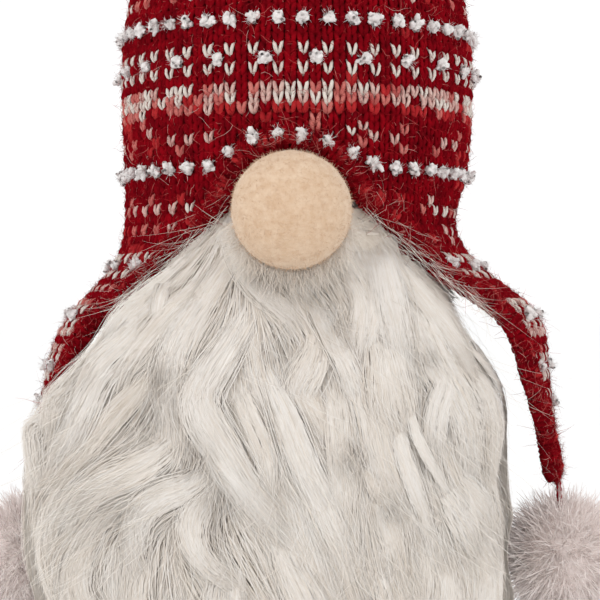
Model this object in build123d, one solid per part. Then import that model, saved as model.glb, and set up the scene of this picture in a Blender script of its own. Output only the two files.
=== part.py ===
"""Tomte gnome: a stuffed, weighted figure with a fur beard, a felt ball nose and a knitted ear-flap hat.

Millimetres. +Z is up, the face looks along -Y, and the origin is the middle of the round base, on the
surface that the figure stands on. Left and right are as seen from the front: right is +X.
"""

import os
from math import hypot

from build123d import *

# ---- Driving sizes ----------------------------------------------------------------------------------

GAP = 0.3  # left between neighbouring soft pieces
HAIR_GAP = 0.2  # left between layers that are sewn together

BASE_R = 60.0
BASE_CLOTH_T = 1.5
BASE_DISC_T = 2.0
BASE_DISC_INSET = 4.0

BODY_CLOTH_T = 1.5
BODY_SIDE = [  # outer face of the body cloth, radius and height
    (60.0, 1.8),
    (62.5, 25.0),
    (62.5, 60.0),
    (60.0, 100.0),
    (55.5, 150.0),
    (51.0, 200.0),
    (50.5, 232.0),
    (48.0, 252.0),
    (38.0, 268.0),
    (20.0, 276.0),
    (5.0, 278.0),
]

PELLET_BAG_R = 54.0
PELLET_BAG_H = 40.0
PELLET_BAG_T = 0.8
PELLET_BAG_FILLET = 12.0

HAT_SIDE = [  # outer face of the knitted wall, from the flap tips up to the open top of the crown
    (87.0, 143.0),
    (86.0, 158.0),
    (84.5, 174.0),
    (81.5, 189.0),
    (76.0, 200.0),
    (68.5, 208.5),
    (62.0, 216.0),
    (58.0, 226.0),
    (57.5, 245.0),
    (58.5, 270.0),
    (57.8, 292.0),
    (52.0, 322.0),
    (43.5, 346.0),
    (37.0, 363.0),
]
KNIT_T = 3.2
LINING_T = 1.0
RIM_Z = 225.8  # where the crown ends and the flaps begin
EDGE_W = 7.5  # folded hem

NOSE_R = 18.2
NOSE_AT = (-1.5, -71.0, 231.5)
NOSE_COVER_T = 1.4

ARCH_R = 19.6  # the hem rides over the nose in a round arch
ARCH_PEAK_Z = 250.0  # where the two straight slopes of the hem would meet above the nose
ARCH_SLOPE = 0.774  # fall of the hem for each millimetre sideways

FLAP_TIP_Y = -10.0
FLAP_TIP_Z = 146.0
FLAP_SIDE = [  # flap's edge in the side view, Y and height, from the front root round the tip to the back
    (-46.0, 225.0),
    (-44.0, 207.0),
    (-40.0, 185.0),
    (-28.0, 161.0),
    (FLAP_TIP_Y, FLAP_TIP_Z),
    (6.0, 159.0),
    (19.0, 186.0),
    (27.0, 210.0),
    (30.0, 226.0),
]
FLAP_ROOT_FRONT_Y = -34.0  # the root runs level from the back to here, then slopes down to the hem
FLAP_ROOT_SLOPE = 1.08
FLAP_ROOT_GAP = 0.5

POMPOM_R = 21.5
POMPOM_AT = (88.0, FLAP_TIP_Y, 121.0)
POMPOM_PIVOT_Z = FLAP_TIP_Z  # the pompom swings from the flap's tip
TIE_R = 1.0
TIE_TOP_GAP = 1.2  # lets the thread swing clear of the flap

STUFFING_LOW_Z = 258.0

TIP_PIVOT_Z = 385.0
TIP_R = 30.0
TIP_TOP_R = 7.0
TIP_TOP_Z = 480.0
TIP_POMPOM_R = 23.0
TIP_KNIT_T = 3.0

BACKING_T = 1.2
BEARD_SIDE = [  # front of the pile, radius and height
    (54.5, 223.0),
    (57.5, 216.0),
    (63.0, 208.0),
    (69.0, 197.0),
    (74.0, 182.0),
    (77.0, 164.0),
    (79.0, 135.0),
    (79.0, 100.0),
    (76.0, 70.0),
    (71.0, 48.0),
    (66.5, 34.0),
]
BEARD_OUTLINE = [  # right half in the front view, across and height, from the top down to the middle
    (27.0, 224.0),
    (36.0, 216.0),
    (46.0, 204.0),
    (64.0, 186.0),
    (71.0, 160.0),
    (72.0, 118.0),
    (66.0, 82.0),
    (46.0, 54.0),
    (18.0, 39.0),
    (0.0, 36.0),
]
BACKING_MARGIN = 4.0  # bare cloth round the pile
BEARD_BACK_Y = -36.0  # the pile ends here at the sides

STITCH_R = 0.6
STITCH_L = 4.0
BEARD_STITCHES = 11
BEARD_STITCH_TURN = 6.5  # degrees from one stitch to the next
BEARD_STITCH_Z = 225.4
NOSE_KNOT_TURN = 8.0  # no stitch this close to the knot behind the nose
HAT_STITCHES = 14
HAT_SEAM_Z = 236.0
HAT_SEAM_FROM = -20.0  # degrees from +X towards the back
HAT_SEAM_SWEEP = 220.0

FAR = 200.0  # reach of a cutting shape, past every face


# ---- Shape helpers ----------------------------------------------------------------------------------


def shifted(points, distance):
    """The points moved square to the line through them: outwards for an upward run of (radius, height)."""
    moved = []
    last = len(points) - 1
    for i, (r, z) in enumerate(points):
        before = points[max(i - 1, 0)]
        after = points[min(i + 1, last)]
        run = hypot(after[0] - before[0], after[1] - before[1])
        out_r = (after[1] - before[1]) / run
        out_z = -(after[0] - before[0]) / run
        moved.append((r + distance * out_r, z + distance * out_z))
    return moved


def turned(*edges):
    """A solid of revolution about Z, from edges drawn in radius and height."""
    return revolve(Plane.XZ * make_face(list(edges)), Axis.Z, 360)


def wall(outer, thickness):
    """A turned wall of even thickness. The points run upwards on its outer face."""
    inner = shifted(outer, -thickness)
    return turned(
        Spline(*outer),
        Line(outer[-1], inner[-1]),
        Spline(*reversed(inner)),
        Line(inner[0], outer[0]),
    )


def front(face):
    """Everything in front of the Z axis that lies behind an outline in the front view."""
    return extrude(Plane.XZ * face, FAR)


def right(face):
    """Everything to the right of the Z axis within an outline in the side view, Y and height."""
    return extrude(Plane.YZ * face, FAR)


def mirrored(shape):
    """The same piece on the left side."""
    return mirror(shape, Plane.YZ)


def ball(centre, radius):
    return Pos(*centre) * Sphere(radius)


def core(outer):
    """A turned solid, from the Z axis out to the side that the points run up."""
    low, high = outer[0], outer[-1]
    return turned(
        Spline(*outer),
        Line(high, (0, high[1])),
        Line((0, high[1]), (0, low[1])),
        Line((0, low[1]), low),
    )


def between(z_low, z_high, radius=FAR):
    """A round slab between two heights."""
    height = z_high - z_low
    return Pos(0, 0, z_low + height / 2) * Cylinder(radius, height)


# ---- Body -------------------------------------------------------------------------------------------


def base_cloth():
    """Round cloth panel that the figure stands on."""
    return between(0, BASE_CLOTH_T, BASE_R)


def base_disc():
    """Stiff card that keeps the base flat."""
    low = BASE_CLOTH_T + GAP
    return between(low, low + BASE_DISC_T, BASE_R - BASE_DISC_INSET)


def pellet_bag_outside(shrink=0.0):
    low = BASE_CLOTH_T + BASE_DISC_T + 2 * GAP + shrink
    height = PELLET_BAG_H - 2 * shrink
    bag = between(low, low + height, PELLET_BAG_R - shrink)
    return fillet(bag.edges(), PELLET_BAG_FILLET - shrink)


def pellet_bag():
    """Inner bag that holds the weighting pellets."""
    return pellet_bag_outside() - pellet_bag_outside(PELLET_BAG_T)


def pellet_fill():
    return pellet_bag_outside(PELLET_BAG_T + GAP)


def body_cloth():
    """Plush sack: one turned wall from the base up to the gathered top under the hat."""
    return wall(BODY_SIDE, BODY_CLOTH_T)


def body_stuffing():
    """Fibre filling above and round the pellet bag."""
    side = shifted(BODY_SIDE, -BODY_CLOTH_T - GAP)[1:]
    low = BASE_CLOTH_T + BASE_DISC_T + 2 * GAP + PELLET_BAG_H + GAP
    return core(side) & between(low, FAR * 2)


def body_gather_thread():
    """Drawstring that closes the top of the body cloth."""
    radius, height = BODY_SIDE[-1]
    return Pos(0, 0, height + STITCH_R + GAP) * Torus(radius - BODY_CLOTH_T, STITCH_R)


# ---- Nose -------------------------------------------------------------------------------------------


def nose_cover():
    """Felt skin of the ball nose."""
    return ball(NOSE_AT, NOSE_R) - ball(NOSE_AT, NOSE_R - NOSE_COVER_T)


def nose_stuffing():
    return ball(NOSE_AT, NOSE_R - NOSE_COVER_T - GAP)


def nose_gather_thread():
    """Knot behind the nose that gathers its felt and holds it to the head."""
    x, y, z = NOSE_AT
    # The head's front face at the nose's height, worked out from the body's side.
    (low_r, low_z), (high_r, high_z) = BODY_SIDE[5], BODY_SIDE[6]
    head_r = low_r + (high_r - low_r) * (z - low_z) / (high_z - low_z)
    back = y + NOSE_R + GAP
    length = -head_r - GAP - back
    knot = Rot(90, 0, 0) * Cylinder(TIE_R * 2, abs(length))
    return Pos(x, back + length / 2, z) * knot


# ---- Beard ------------------------------------------------------------------------------------------


def beard_outline(margin=0.0):
    """The beard's outline in the front view, with a margin of bare cloth round it or none."""
    other = [(-x, z) for x, z in reversed(BEARD_OUTLINE[:-1])]
    edge = shifted(BEARD_OUTLINE + other, -margin)
    return make_face([Spline(*edge), Line(edge[-1], edge[0])])


def beard_backing():
    """Woven cloth that the pile is set in, sewn over the front of the body."""
    side = shifted(BODY_SIDE, GAP + BACKING_T)
    return wall(side, BACKING_T) & front(beard_outline(BACKING_MARGIN)) & between(30, 227)


def beard_pile():
    """Long fur pile, as the space that it fills in front of its backing."""
    back = shifted(BODY_SIDE, GAP + BACKING_T + GAP)
    ahead = Pos(0, BEARD_BACK_Y - FAR / 2, FAR) * Box(2 * FAR, FAR, 2 * FAR)
    pile = core(BEARD_SIDE) & front(beard_outline()) & ahead
    return pile - core(back) - ball(NOSE_AT, NOSE_R + GAP)


def beard_seam_thread():
    """Stitches along the backing's top margin that hold the beard to the body."""
    stitches = []
    radius = BODY_SIDE[6][0] + GAP + BACKING_T + GAP + STITCH_R
    for i in range(BEARD_STITCHES):
        turn = (i - (BEARD_STITCHES - 1) / 2) * BEARD_STITCH_TURN
        if abs(turn) < NOSE_KNOT_TURN:
            continue
        bar = Pos(0, -radius, BEARD_STITCH_Z) * Rot(0, 90, 0) * Cylinder(STITCH_R, STITCH_L)
        stitches.append(Rot(0, 0, turn) * bar)
    return Compound(stitches)


# ---- Hat --------------------------------------------------------------------------------------------


def arch(raise_by):
    """Front-view area under the hem: straight slopes with a round arch over the nose."""
    peak = ARCH_PEAK_Z + raise_by * hypot(1, ARCH_SLOPE)
    foot = peak - ARCH_SLOPE * FAR
    slopes = make_face(Polyline((0, peak), (FAR, foot), (-FAR, foot), close=True))
    bump = Pos(0, NOSE_AT[2]) * Circle(ARCH_R + raise_by)
    return slopes + bump


def root_area(drop=0.0):
    """Side-view area above the flap's root line, which belongs to the crown and its hem."""
    corner_z = RIM_Z - drop
    run = FAR / 2
    return make_face(
        Polyline(
            (FAR, corner_z),
            (FLAP_ROOT_FRONT_Y, corner_z),
            (FLAP_ROOT_FRONT_Y - run, corner_z - run * FLAP_ROOT_SLOPE),
            (FLAP_ROOT_FRONT_Y - run, FAR * 3),
            (FAR, FAR * 3),
            close=True,
        )
    )


def flap_area(inset=0.0):
    """Side-view outline of a flap, below its root line; inset leaves room for the folded edge."""
    edge = shifted(FLAP_SIDE, -inset)
    first, last = edge[0], edge[-1]
    top = RIM_Z + EDGE_W
    face = make_face(
        [
            Spline(*edge),
            Line(last, (last[0], top)),
            Line((last[0], top), (first[0], top)),
            Line((first[0], top), first),
        ]
    )
    return face - root_area(FLAP_ROOT_GAP)


def both_sides(face):
    """A side-view area run right across the figure."""
    shape = right(face)
    return shape + mirrored(shape)


def hat_wall():
    return wall(HAT_SIDE, KNIT_T)


def hat_crown():
    """Knitted tube of the hat, open over the nose, up to its bend."""
    return hat_wall() & between(RIM_Z, FAR * 2) - front(arch(EDGE_W + HAIR_GAP))


def hat_hem_front():
    """Folded hem that arches over the nose and runs down to both flaps."""
    band = front(arch(EDGE_W)) - front(arch(0))
    above = both_sides(root_area())
    return hat_wall() & band & above


def hat_hem_back():
    """Folded hem behind the flaps."""
    low = RIM_Z - EDGE_W
    behind = Pos(0, FLAP_SIDE[-1][0] + 1.5 + FAR / 2, 0) * Box(2 * FAR, FAR, 4 * FAR)
    return hat_wall() & between(low, RIM_Z - HAIR_GAP) & behind


def hat_stuffing():
    """Fibre filling of the crown, hollowed for the dome of the body and for the foot of the hat's top."""
    inside = shifted(HAT_SIDE, -KNIT_T - GAP)[8:]
    dome = shifted(BODY_SIDE, 2 * STITCH_R + 3 * GAP)[7:]
    filling = core(inside) & between(STUFFING_LOW_Z, FAR * 2)
    return filling - core(dome) - ball((0, 0, TIP_PIVOT_Z), TIP_R + 1)


def hat_seam_thread():
    """Hidden stitches between the crown and the head, round the sides and the back."""
    stitches = []
    low = BODY_SIDE[6][0] + GAP
    high = HAT_SIDE[8][0] - KNIT_T - 3 * GAP
    for i in range(HAT_STITCHES):
        turn = HAT_SEAM_FROM + i * HAT_SEAM_SWEEP / (HAT_STITCHES - 1)
        bar = Pos((low + high) / 2, 0, HAT_SEAM_Z) * Rot(0, 90, 0) * Cylinder(STITCH_R, high - low)
        stitches.append(Rot(0, 0, turn) * bar)
    return Compound(stitches)


# ---- Top of the hat ---------------------------------------------------------------------------------


def tip_solid(shrink=0.0):
    """Cone of the hat's top on a round foot, centred on the bend so that it can lean any way."""
    foot = ball((0, 0, TIP_PIVOT_Z), TIP_R - shrink) & between(0, TIP_PIVOT_Z)
    height = TIP_TOP_Z - TIP_PIVOT_Z - shrink
    cone = Pos(0, 0, TIP_PIVOT_Z + height / 2) * Cone(TIP_R - shrink, TIP_TOP_R - shrink / 2, height)
    return foot + cone


def hat_tip():
    return tip_solid() - tip_solid(TIP_KNIT_T)


def hat_tip_stuffing():
    return tip_solid(TIP_KNIT_T + GAP)


def tip_pompom():
    return ball((0, 0, TIP_TOP_Z + TIE_R * 2 + TIP_POMPOM_R), TIP_POMPOM_R)


def tip_pompom_tie():
    """Thread loop that holds the top pompom on the gathered tip."""
    height = TIE_R * 2 - 2 * HAIR_GAP
    return Pos(0, 0, TIP_TOP_Z + TIE_R) * Cylinder(TIE_R, height)


# ---- Ear flaps --------------------------------------------------------------------------------------


def ear_flap():
    """Knitted panel of the right flap, inside its folded edge."""
    return hat_wall() & right(flap_area(EDGE_W))


def ear_flap_edge():
    """Folded edge round the right flap."""
    return hat_wall() & right(flap_area() - flap_area(EDGE_W - HAIR_GAP))


def ear_flap_lining():
    """Thin cloth behind the right flap's panel."""
    inside = shifted(HAT_SIDE, -KNIT_T - HAIR_GAP)
    return wall(inside, LINING_T) & right(flap_area(EDGE_W))


def flap_pompom():
    return ball(POMPOM_AT, POMPOM_R)


def pompom_tie():
    """Short thread between the right flap's tip and its pompom."""
    x = HAT_SIDE[0][0] - KNIT_T / 2
    top = POMPOM_PIVOT_Z - TIE_TOP_GAP
    low = POMPOM_AT[2] + POMPOM_R + HAIR_GAP
    return Pos(x, FLAP_TIP_Y, (low + top) / 2) * Cylinder(TIE_R, top - low)


# ---- Files ------------------------------------------------------------------------------------------

SINGLE = [
    base_cloth,
    base_disc,
    pellet_bag,
    pellet_fill,
    body_cloth,
    body_stuffing,
    body_gather_thread,
    nose_cover,
    nose_stuffing,
    nose_gather_thread,
    beard_backing,
    beard_pile,
    beard_seam_thread,
    hat_crown,
    hat_hem_front,
    hat_hem_back,
    hat_stuffing,
    hat_seam_thread,
    hat_tip,
    hat_tip_stuffing,
    tip_pompom,
    tip_pompom_tie,
]
PAIRS = [ear_flap, ear_flap_edge, ear_flap_lining, flap_pompom, pompom_tie]

os.makedirs("parts", exist_ok=True)
for piece in SINGLE:
    export_step(piece(), f"parts/{piece.__name__}.step")
for piece in PAIRS:
    shape = piece()
    export_step(shape, f"parts/{piece.__name__}_right.step")
    export_step(mirrored(shape), f"parts/{piece.__name__}_left.step")
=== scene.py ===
"""Tomte gnome: a hat knitted stitch by stitch, a fur beard, a felt nose, pompoms and a plush body.

Lengths are millimetres in the part's own frame (+Z up, the face looks along -Y), and turn into metres when a
mesh is made. Angles round Z are radians, with the front at -pi/2 and the right side at 0.
"""

import math

import bmesh
import bpy
import numpy as np
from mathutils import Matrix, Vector


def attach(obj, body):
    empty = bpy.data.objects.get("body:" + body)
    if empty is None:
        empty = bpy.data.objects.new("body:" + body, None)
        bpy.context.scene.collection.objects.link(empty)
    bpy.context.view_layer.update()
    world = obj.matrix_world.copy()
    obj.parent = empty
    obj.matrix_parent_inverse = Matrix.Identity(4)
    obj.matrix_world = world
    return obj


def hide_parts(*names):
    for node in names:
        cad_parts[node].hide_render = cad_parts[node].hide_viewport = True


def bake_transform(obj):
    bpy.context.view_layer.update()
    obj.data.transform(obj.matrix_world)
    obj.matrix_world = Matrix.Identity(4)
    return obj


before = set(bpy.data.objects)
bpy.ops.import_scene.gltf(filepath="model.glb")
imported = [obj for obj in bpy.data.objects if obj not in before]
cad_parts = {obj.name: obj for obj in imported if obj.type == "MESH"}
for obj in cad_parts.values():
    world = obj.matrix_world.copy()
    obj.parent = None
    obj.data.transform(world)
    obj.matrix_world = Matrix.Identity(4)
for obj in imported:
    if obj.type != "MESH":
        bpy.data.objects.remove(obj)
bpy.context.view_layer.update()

MM = 0.001
FRONT = -math.pi / 2

# ---- Sizes ------------------------------------------------------------------------------------------

COLUMNS = 96  # stitches round the crown
ROW = 3.0  # height of one row
CROWN_R = 58.0
YARN_DEPTH = 1.3  # the yarn's middle lies this far inside the hat's outer face

HAT_SIDE = [  # outer face, radius and height, from the flap tips to the top of the hat
    (87.0, 143.0),
    (86.0, 158.0),
    (84.5, 174.0),
    (81.5, 189.0),
    (76.0, 200.0),
    (68.5, 208.5),
    (62.0, 216.0),
    (58.0, 226.0),
    (57.5, 245.0),
    (58.5, 270.0),
    (57.8, 292.0),
    (52.0, 322.0),
    (43.5, 346.0),
    (36.5, 365.0),
    (29.5, 388.0),
    (21.5, 420.0),
    (14.0, 450.0),
    (8.5, 472.0),
    (2.5, 481.0),
]
RIM_Z = 225.8
FLAP_SIDE = [  # edge of a flap in the side view, across and height, from the front root round to the back
    (-44.5, 216.0),
    (-44.0, 207.0),
    (-40.0, 185.0),
    (-28.0, 161.0),
    (-10.0, 146.0),
    (6.0, 159.0),
    (19.0, 186.0),
    (27.0, 210.0),
    (30.0, 226.0),
]
FLAP_MIDDLE = math.radians(-10)
NOSE = np.array([-1.5, -71.0, 231.5])
NOSE_R = 18.2
ARCH_R = 19.6
ARCH_PEAK_Z = 250.0
ARCH_SLOPE = 0.774
ARCH_END_X = 43.0
EDGE_W = 6.5
LIFT = 10.0  # the rows ride up over the nose by this much
LIFT_X = -6.0
LIFT_W = (16.0, 24.0)  # to the left and to the right
LIFT_TOP = 262.0
LIFT_FULL = 246.0
CROWDED = 0.7  # where rows lie closer than this share of a row, every other one is left out
PINCH = 4.6  # the right side is drawn in above the flap
PINCH_Z = 230.0
PINCH_H = 13.0
BULGE = 4.5  # and the flap swells out below
BULGE_Z = 202.0
BULGE_H = 13.0

BODY_SIDE = [
    (60.5, 0.2),
    (61.6, 8.0),
    (62.6, 25.0),
    (62.6, 60.0),
    (60.0, 100.0),
    (55.5, 150.0),
    (51.0, 200.0),
    (50.5, 232.0),
    (48.0, 252.0),
    (38.0, 268.0),
    (20.0, 276.0),
    (5.0, 278.0),
]
PILE_SIDE = [  # front of the beard, radius and height
    (53.0, 230.0),
    (56.0, 219.0),
    (62.5, 208.0),
    (69.0, 196.0),
    (74.0, 182.0),
    (77.5, 164.0),
    (79.5, 135.0),
    (79.5, 100.0),
    (77.0, 70.0),
    (72.0, 48.0),
    (67.0, 30.0),
]
POMPOM_R = 21.5
POMPOM_AT = np.array([88.0, -10.0, 121.0])
TIP_POMPOM_R = 23.0
TIP_POMPOM_AT = np.array([0.0, 0.0, 505.0])

rng = np.random.default_rng(11)


# ---- Mesh helpers -----------------------------------------------------------------------------------


def unit(vectors):
    return vectors / np.maximum(np.linalg.norm(vectors, axis=-1, keepdims=True), 1e-9)


def random_ways(*shape):
    """Unit vectors in random directions."""
    return unit(rng.normal(size=(*shape, 3)))


def grid_faces(columns, rows):
    """Four-cornered faces of a grid of points that is numbered column by column."""
    i, j = np.meshgrid(np.arange(columns - 1), np.arange(rows - 1), indexing="ij")
    first = (i * rows + j).ravel()
    return np.stack([first, first + rows, first + rows + 1, first + 1], axis=1)


def make_mesh(name, points, faces, materials, tone=None):
    """A smooth mesh object from points in millimetres and an array of faces, all with as many corners."""
    mesh = bpy.data.meshes.new(name)
    count, corners = faces.shape
    mesh.vertices.add(len(points))
    mesh.vertices.foreach_set("co", (np.asarray(points) * MM).astype(np.float32).ravel())
    mesh.loops.add(count * corners)
    mesh.loops.foreach_set("vertex_index", faces.astype(np.int32).ravel())
    mesh.polygons.add(count)
    mesh.polygons.foreach_set("loop_start", np.arange(0, count * corners, corners, dtype=np.int32))
    for material in materials:
        mesh.materials.append(material)
    if tone is not None:
        mesh.polygons.foreach_set("material_index", tone.astype(np.int32))
    mesh.polygons.foreach_set("use_smooth", np.ones(count, dtype=bool))
    mesh.update(calc_edges=True)
    mesh.validate()
    piece = bpy.data.objects.new(name, mesh)
    bpy.context.scene.collection.objects.link(piece)
    return piece


def strip_frames(paths, normals):
    """Unit vectors across each path and out of the surface, at every point of it."""
    along = unit(np.gradient(paths, axis=1))
    across = unit(np.cross(along, normals))
    return across, np.cross(across, along)


def first_corners(paths, corners):
    """Index of the first vertex of each step of each path, with this many corners at every point."""
    count, length = paths.shape[:2]
    return (np.arange(count)[:, None] * length + np.arange(length - 1)[None, :]) * corners


def tubes(paths, normals, radii, sides, flat=0.85):
    """Tapered tubes along paths (count, points, 3): their points and faces."""
    across, out = strip_frames(paths, normals)
    turn = 2 * np.pi * np.arange(sides) / sides
    ring = (
        np.cos(turn)[:, None] * across[:, :, None, :]
        + flat * np.sin(turn)[:, None] * out[:, :, None, :]
    )
    points = paths[:, :, None, :] + radii[:, :, None, None] * ring
    start = first_corners(paths, sides)
    side = np.arange(sides)
    after = (side + 1) % sides
    faces = np.stack(
        [
            start[..., None] + side,
            start[..., None] + after,
            start[..., None] + sides + after,
            start[..., None] + sides + side,
        ],
        axis=-1,
    )
    return points.reshape(-1, 3), faces.reshape(-1, 4)


def ribbons(paths, normals, widths):
    """Flat hairs along paths (count, points, 3): their points and faces."""
    across, _ = strip_frames(paths, normals)
    half = widths[..., None] / 2 * across
    points = np.stack([paths - half, paths + half], axis=2)
    start = first_corners(paths, 2)
    faces = np.stack([start, start + 1, start + 3, start + 2], axis=-1)
    return points.reshape(-1, 3), faces.reshape(-1, 4)


def smooth_line(points, steps=16):
    """Points along a smooth curve through the given ones."""
    p = np.array(points, float)
    p = np.vstack([2 * p[0] - p[1], p, 2 * p[-1] - p[-2]])
    t = np.linspace(0, 1, steps, endpoint=False)[:, None]
    spans = []
    for a, b, c, d in zip(p, p[1:], p[2:], p[3:]):
        spans.append(b + 0.5 * t * (c - a + t * (2 * a - 5 * b + 4 * c - d + t * (3 * (b - c) + d - a))))
    return np.vstack([*spans, p[-2][None]])


def along_line(points):
    """Distance along a line at each of its points."""
    return np.concatenate([[0], np.cumsum(np.linalg.norm(np.diff(points, axis=0), axis=1))])


def ramp(x, low, high):
    """0 below low, 1 above high, smooth between."""
    t = np.clip((x - low) / (high - low), 0, 1)
    return t * t * (3 - 2 * t)


def lumps(points, size, seed):
    """Smooth values from -1 to 1 that vary over about size, from a few crossed waves."""
    draw = np.random.default_rng(seed)
    waves = draw.normal(size=(9, 3)) * (2.2 / size)
    phase = draw.uniform(0, 2 * np.pi, 9)
    return np.sin(points @ waves.T + phase).mean(axis=-1) * 2


# ---- Materials --------------------------------------------------------------------------------------


def soft_material(name, dark, light, grain, bump, roughness=0.9, sheen=0.3, tint=(1, 1, 1), gloss=0.08):
    """A fibre material: two colours mottled at a grain in millimetres, with a fine nap."""
    material = bpy.data.materials.new(name)
    material.use_nodes = True
    nodes = material.node_tree.nodes
    links = material.node_tree.links
    shader = nodes["Principled BSDF"]
    shader.inputs["Roughness"].default_value = roughness
    shader.inputs["Sheen Weight"].default_value = sheen
    shader.inputs["Sheen Roughness"].default_value = 0.45
    shader.inputs["Sheen Tint"].default_value = (*tint, 1)
    shader.inputs["Specular IOR Level"].default_value = gloss
    place = nodes.new("ShaderNodeTexCoord")
    noise = nodes.new("ShaderNodeTexNoise")
    noise.inputs["Scale"].default_value = 1 / (grain * MM)
    noise.inputs["Detail"].default_value = 6
    noise.inputs["Roughness"].default_value = 0.65
    colours = nodes.new("ShaderNodeValToRGB")
    colours.color_ramp.elements[0].position = 0.34
    colours.color_ramp.elements[0].color = (*dark, 1)
    colours.color_ramp.elements[1].position = 0.66
    colours.color_ramp.elements[1].color = (*light, 1)
    links.new(place.outputs["Object"], noise.inputs["Vector"])
    links.new(noise.outputs["Fac"], colours.inputs["Fac"])
    links.new(colours.outputs["Color"], shader.inputs["Base Color"])
    if bump > 0:
        nap = nodes.new("ShaderNodeBump")
        nap.inputs["Strength"].default_value = 0.8
        nap.inputs["Distance"].default_value = bump * MM
        fine = nodes.new("ShaderNodeTexNoise")
        fine.inputs["Scale"].default_value = 1 / (bump * 1.6 * MM)
        fine.inputs["Detail"].default_value = 4
        links.new(place.outputs["Object"], fine.inputs["Vector"])
        links.new(fine.outputs["Fac"], nap.inputs["Height"])
        links.new(nap.outputs["Normal"], shader.inputs["Normal"])
    return material


RED_NAP = (1.0, 0.30, 0.26)
CRIMSON = soft_material(
    "yarn_crimson", (0.115, 0.002, 0.005), (0.265, 0.003, 0.008), 6, 0.5, sheen=0.01, tint=RED_NAP, gloss=0
)
BRIGHT = soft_material(
    "yarn_bright_red", (0.27, 0.010, 0.014), (0.48, 0.030, 0.032),
    5, 0.5, sheen=0.06, tint=RED_NAP, gloss=0.02,
)
CORAL = soft_material(
    "yarn_coral", (0.40, 0.075, 0.070), (0.60, 0.200, 0.170), 4, 0.5, sheen=0.2, tint=RED_NAP
)
PINK = soft_material("yarn_pale_pink", (0.52, 0.27, 0.24), (0.68, 0.50, 0.44), 3, 0.5, sheen=0.2)
CREAM = soft_material("yarn_off_white", (0.60, 0.50, 0.45), (0.74, 0.69, 0.62), 3, 0.5, sheen=0.2)
CHENILLE = soft_material("chenille_white", (0.70, 0.65, 0.64), (0.84, 0.81, 0.79), 2, 0.5, sheen=0.3)
CLOTH_RED = soft_material("cloth_dark_red", (0.07, 0.002, 0.004), (0.15, 0.004, 0.008), 2, 0.3, sheen=0)
FELT = soft_material(
    "nose_felt", (0.60, 0.415, 0.275), (0.70, 0.530, 0.385), 2.6, 0.35, sheen=0.45, tint=(1, 0.95, 0.87)
)
FUR = soft_material("beard_fur", (0.735, 0.672, 0.605), (0.785, 0.733, 0.675), 16, 0, roughness=0.6, sheen=0)
# A darker and a paler copy of the beard fur. Most hairs take them at random; the large locks, the hairs under
# the nose and those by the hem take them as painted shade and painted light.
FUR_DARK_AND_PAINTED_SHADE = soft_material(
    "beard_fur_dark_and_painted_shade", (0.69, 0.615, 0.535), (0.745, 0.680, 0.610), 12, 0, roughness=0.65, sheen=0
)
# The paler copy: painted light on the bright large locks, and a paler tone at random elsewhere.
FUR_PALE_AND_PAINTED_LIGHT = soft_material(
    "beard_fur_pale_and_painted_light", (0.775, 0.727, 0.675), (0.815, 0.777, 0.733), 16, 0, roughness=0.55, sheen=0
)
# The fur under the locks, darker and tanner than they: painted shade deep in the fur.
UNDERFUR_PAINTED_SHADE = soft_material("beard_underfur_painted_shade", (0.62, 0.545, 0.46), (0.74, 0.670, 0.59), 7, 0.8, sheen=0.1)
POM_FUR = soft_material("pompom_fur", (0.86, 0.770, 0.74), (0.92, 0.855, 0.83), 9, 0, roughness=0.7, sheen=0)
POM_CORE = soft_material("pompom_core", (0.80, 0.700, 0.67), (0.88, 0.800, 0.77), 4, 0.8, sheen=0.1)
PLUSH = soft_material("body_plush", (0.46, 0.44, 0.42), (0.60, 0.58, 0.55), 6, 0.7)
PLUSH_NAP = soft_material("body_plush_nap", (0.50, 0.48, 0.45), (0.66, 0.64, 0.61), 9, 0, roughness=0.8)
FILLING = soft_material("fibre_filling", (0.66, 0.66, 0.64), (0.86, 0.86, 0.84), 5, 0.8)
CARD = soft_material("card", (0.36, 0.27, 0.18), (0.50, 0.39, 0.27), 3, 0.15, sheen=0)
PELLETS = soft_material("pellets", (0.58, 0.58, 0.56), (0.84, 0.84, 0.82), 3, 0.9, roughness=0.4, sheen=0)
THREAD = soft_material("thread", (0.20, 0.004, 0.010), (0.34, 0.012, 0.020), 1, 0.2)
YARNS = [CRIMSON, BRIGHT, CORAL, PINK, CREAM]


# ---- Hat surface ------------------------------------------------------------------------------------

hat_line = smooth_line(HAT_SIDE)
hat_run = along_line(hat_line)
hat_run += RIM_Z - np.interp(RIM_Z, hat_line[:, 1], hat_run)  # equals the height at the rim
hat_slope = unit(np.gradient(hat_line, axis=0))
TIP_RUN = hat_run[-1]


def hat_profile(run):
    """Radius, height and the outward direction's two parts, at a distance along the hat's side."""
    values = [hat_line[:, 0], hat_line[:, 1], hat_slope[:, 1], -hat_slope[:, 0]]
    return [np.interp(run, hat_run, value) for value in values]


def swelling(height):
    """How far the right side stands out below its flap's root, and is drawn in above it."""
    bulge = BULGE * np.exp(-(((height - BULGE_Z) / BULGE_H) ** 2))
    return bulge - PINCH * np.exp(-(((height - PINCH_Z) / PINCH_H) ** 2))


def wall_point(angle, run, off):
    """A point off the hat's outer face, by an angle and a distance along its side."""
    radius, height, out_r, out_z = hat_profile(run)
    right = np.maximum(np.cos(angle), 0) ** 2
    r = radius + swelling(height) * right + (off - YARN_DEPTH) * out_r
    return np.stack([r * np.cos(angle), r * np.sin(angle), height + (off - YARN_DEPTH) * out_z], axis=-1)


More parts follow.
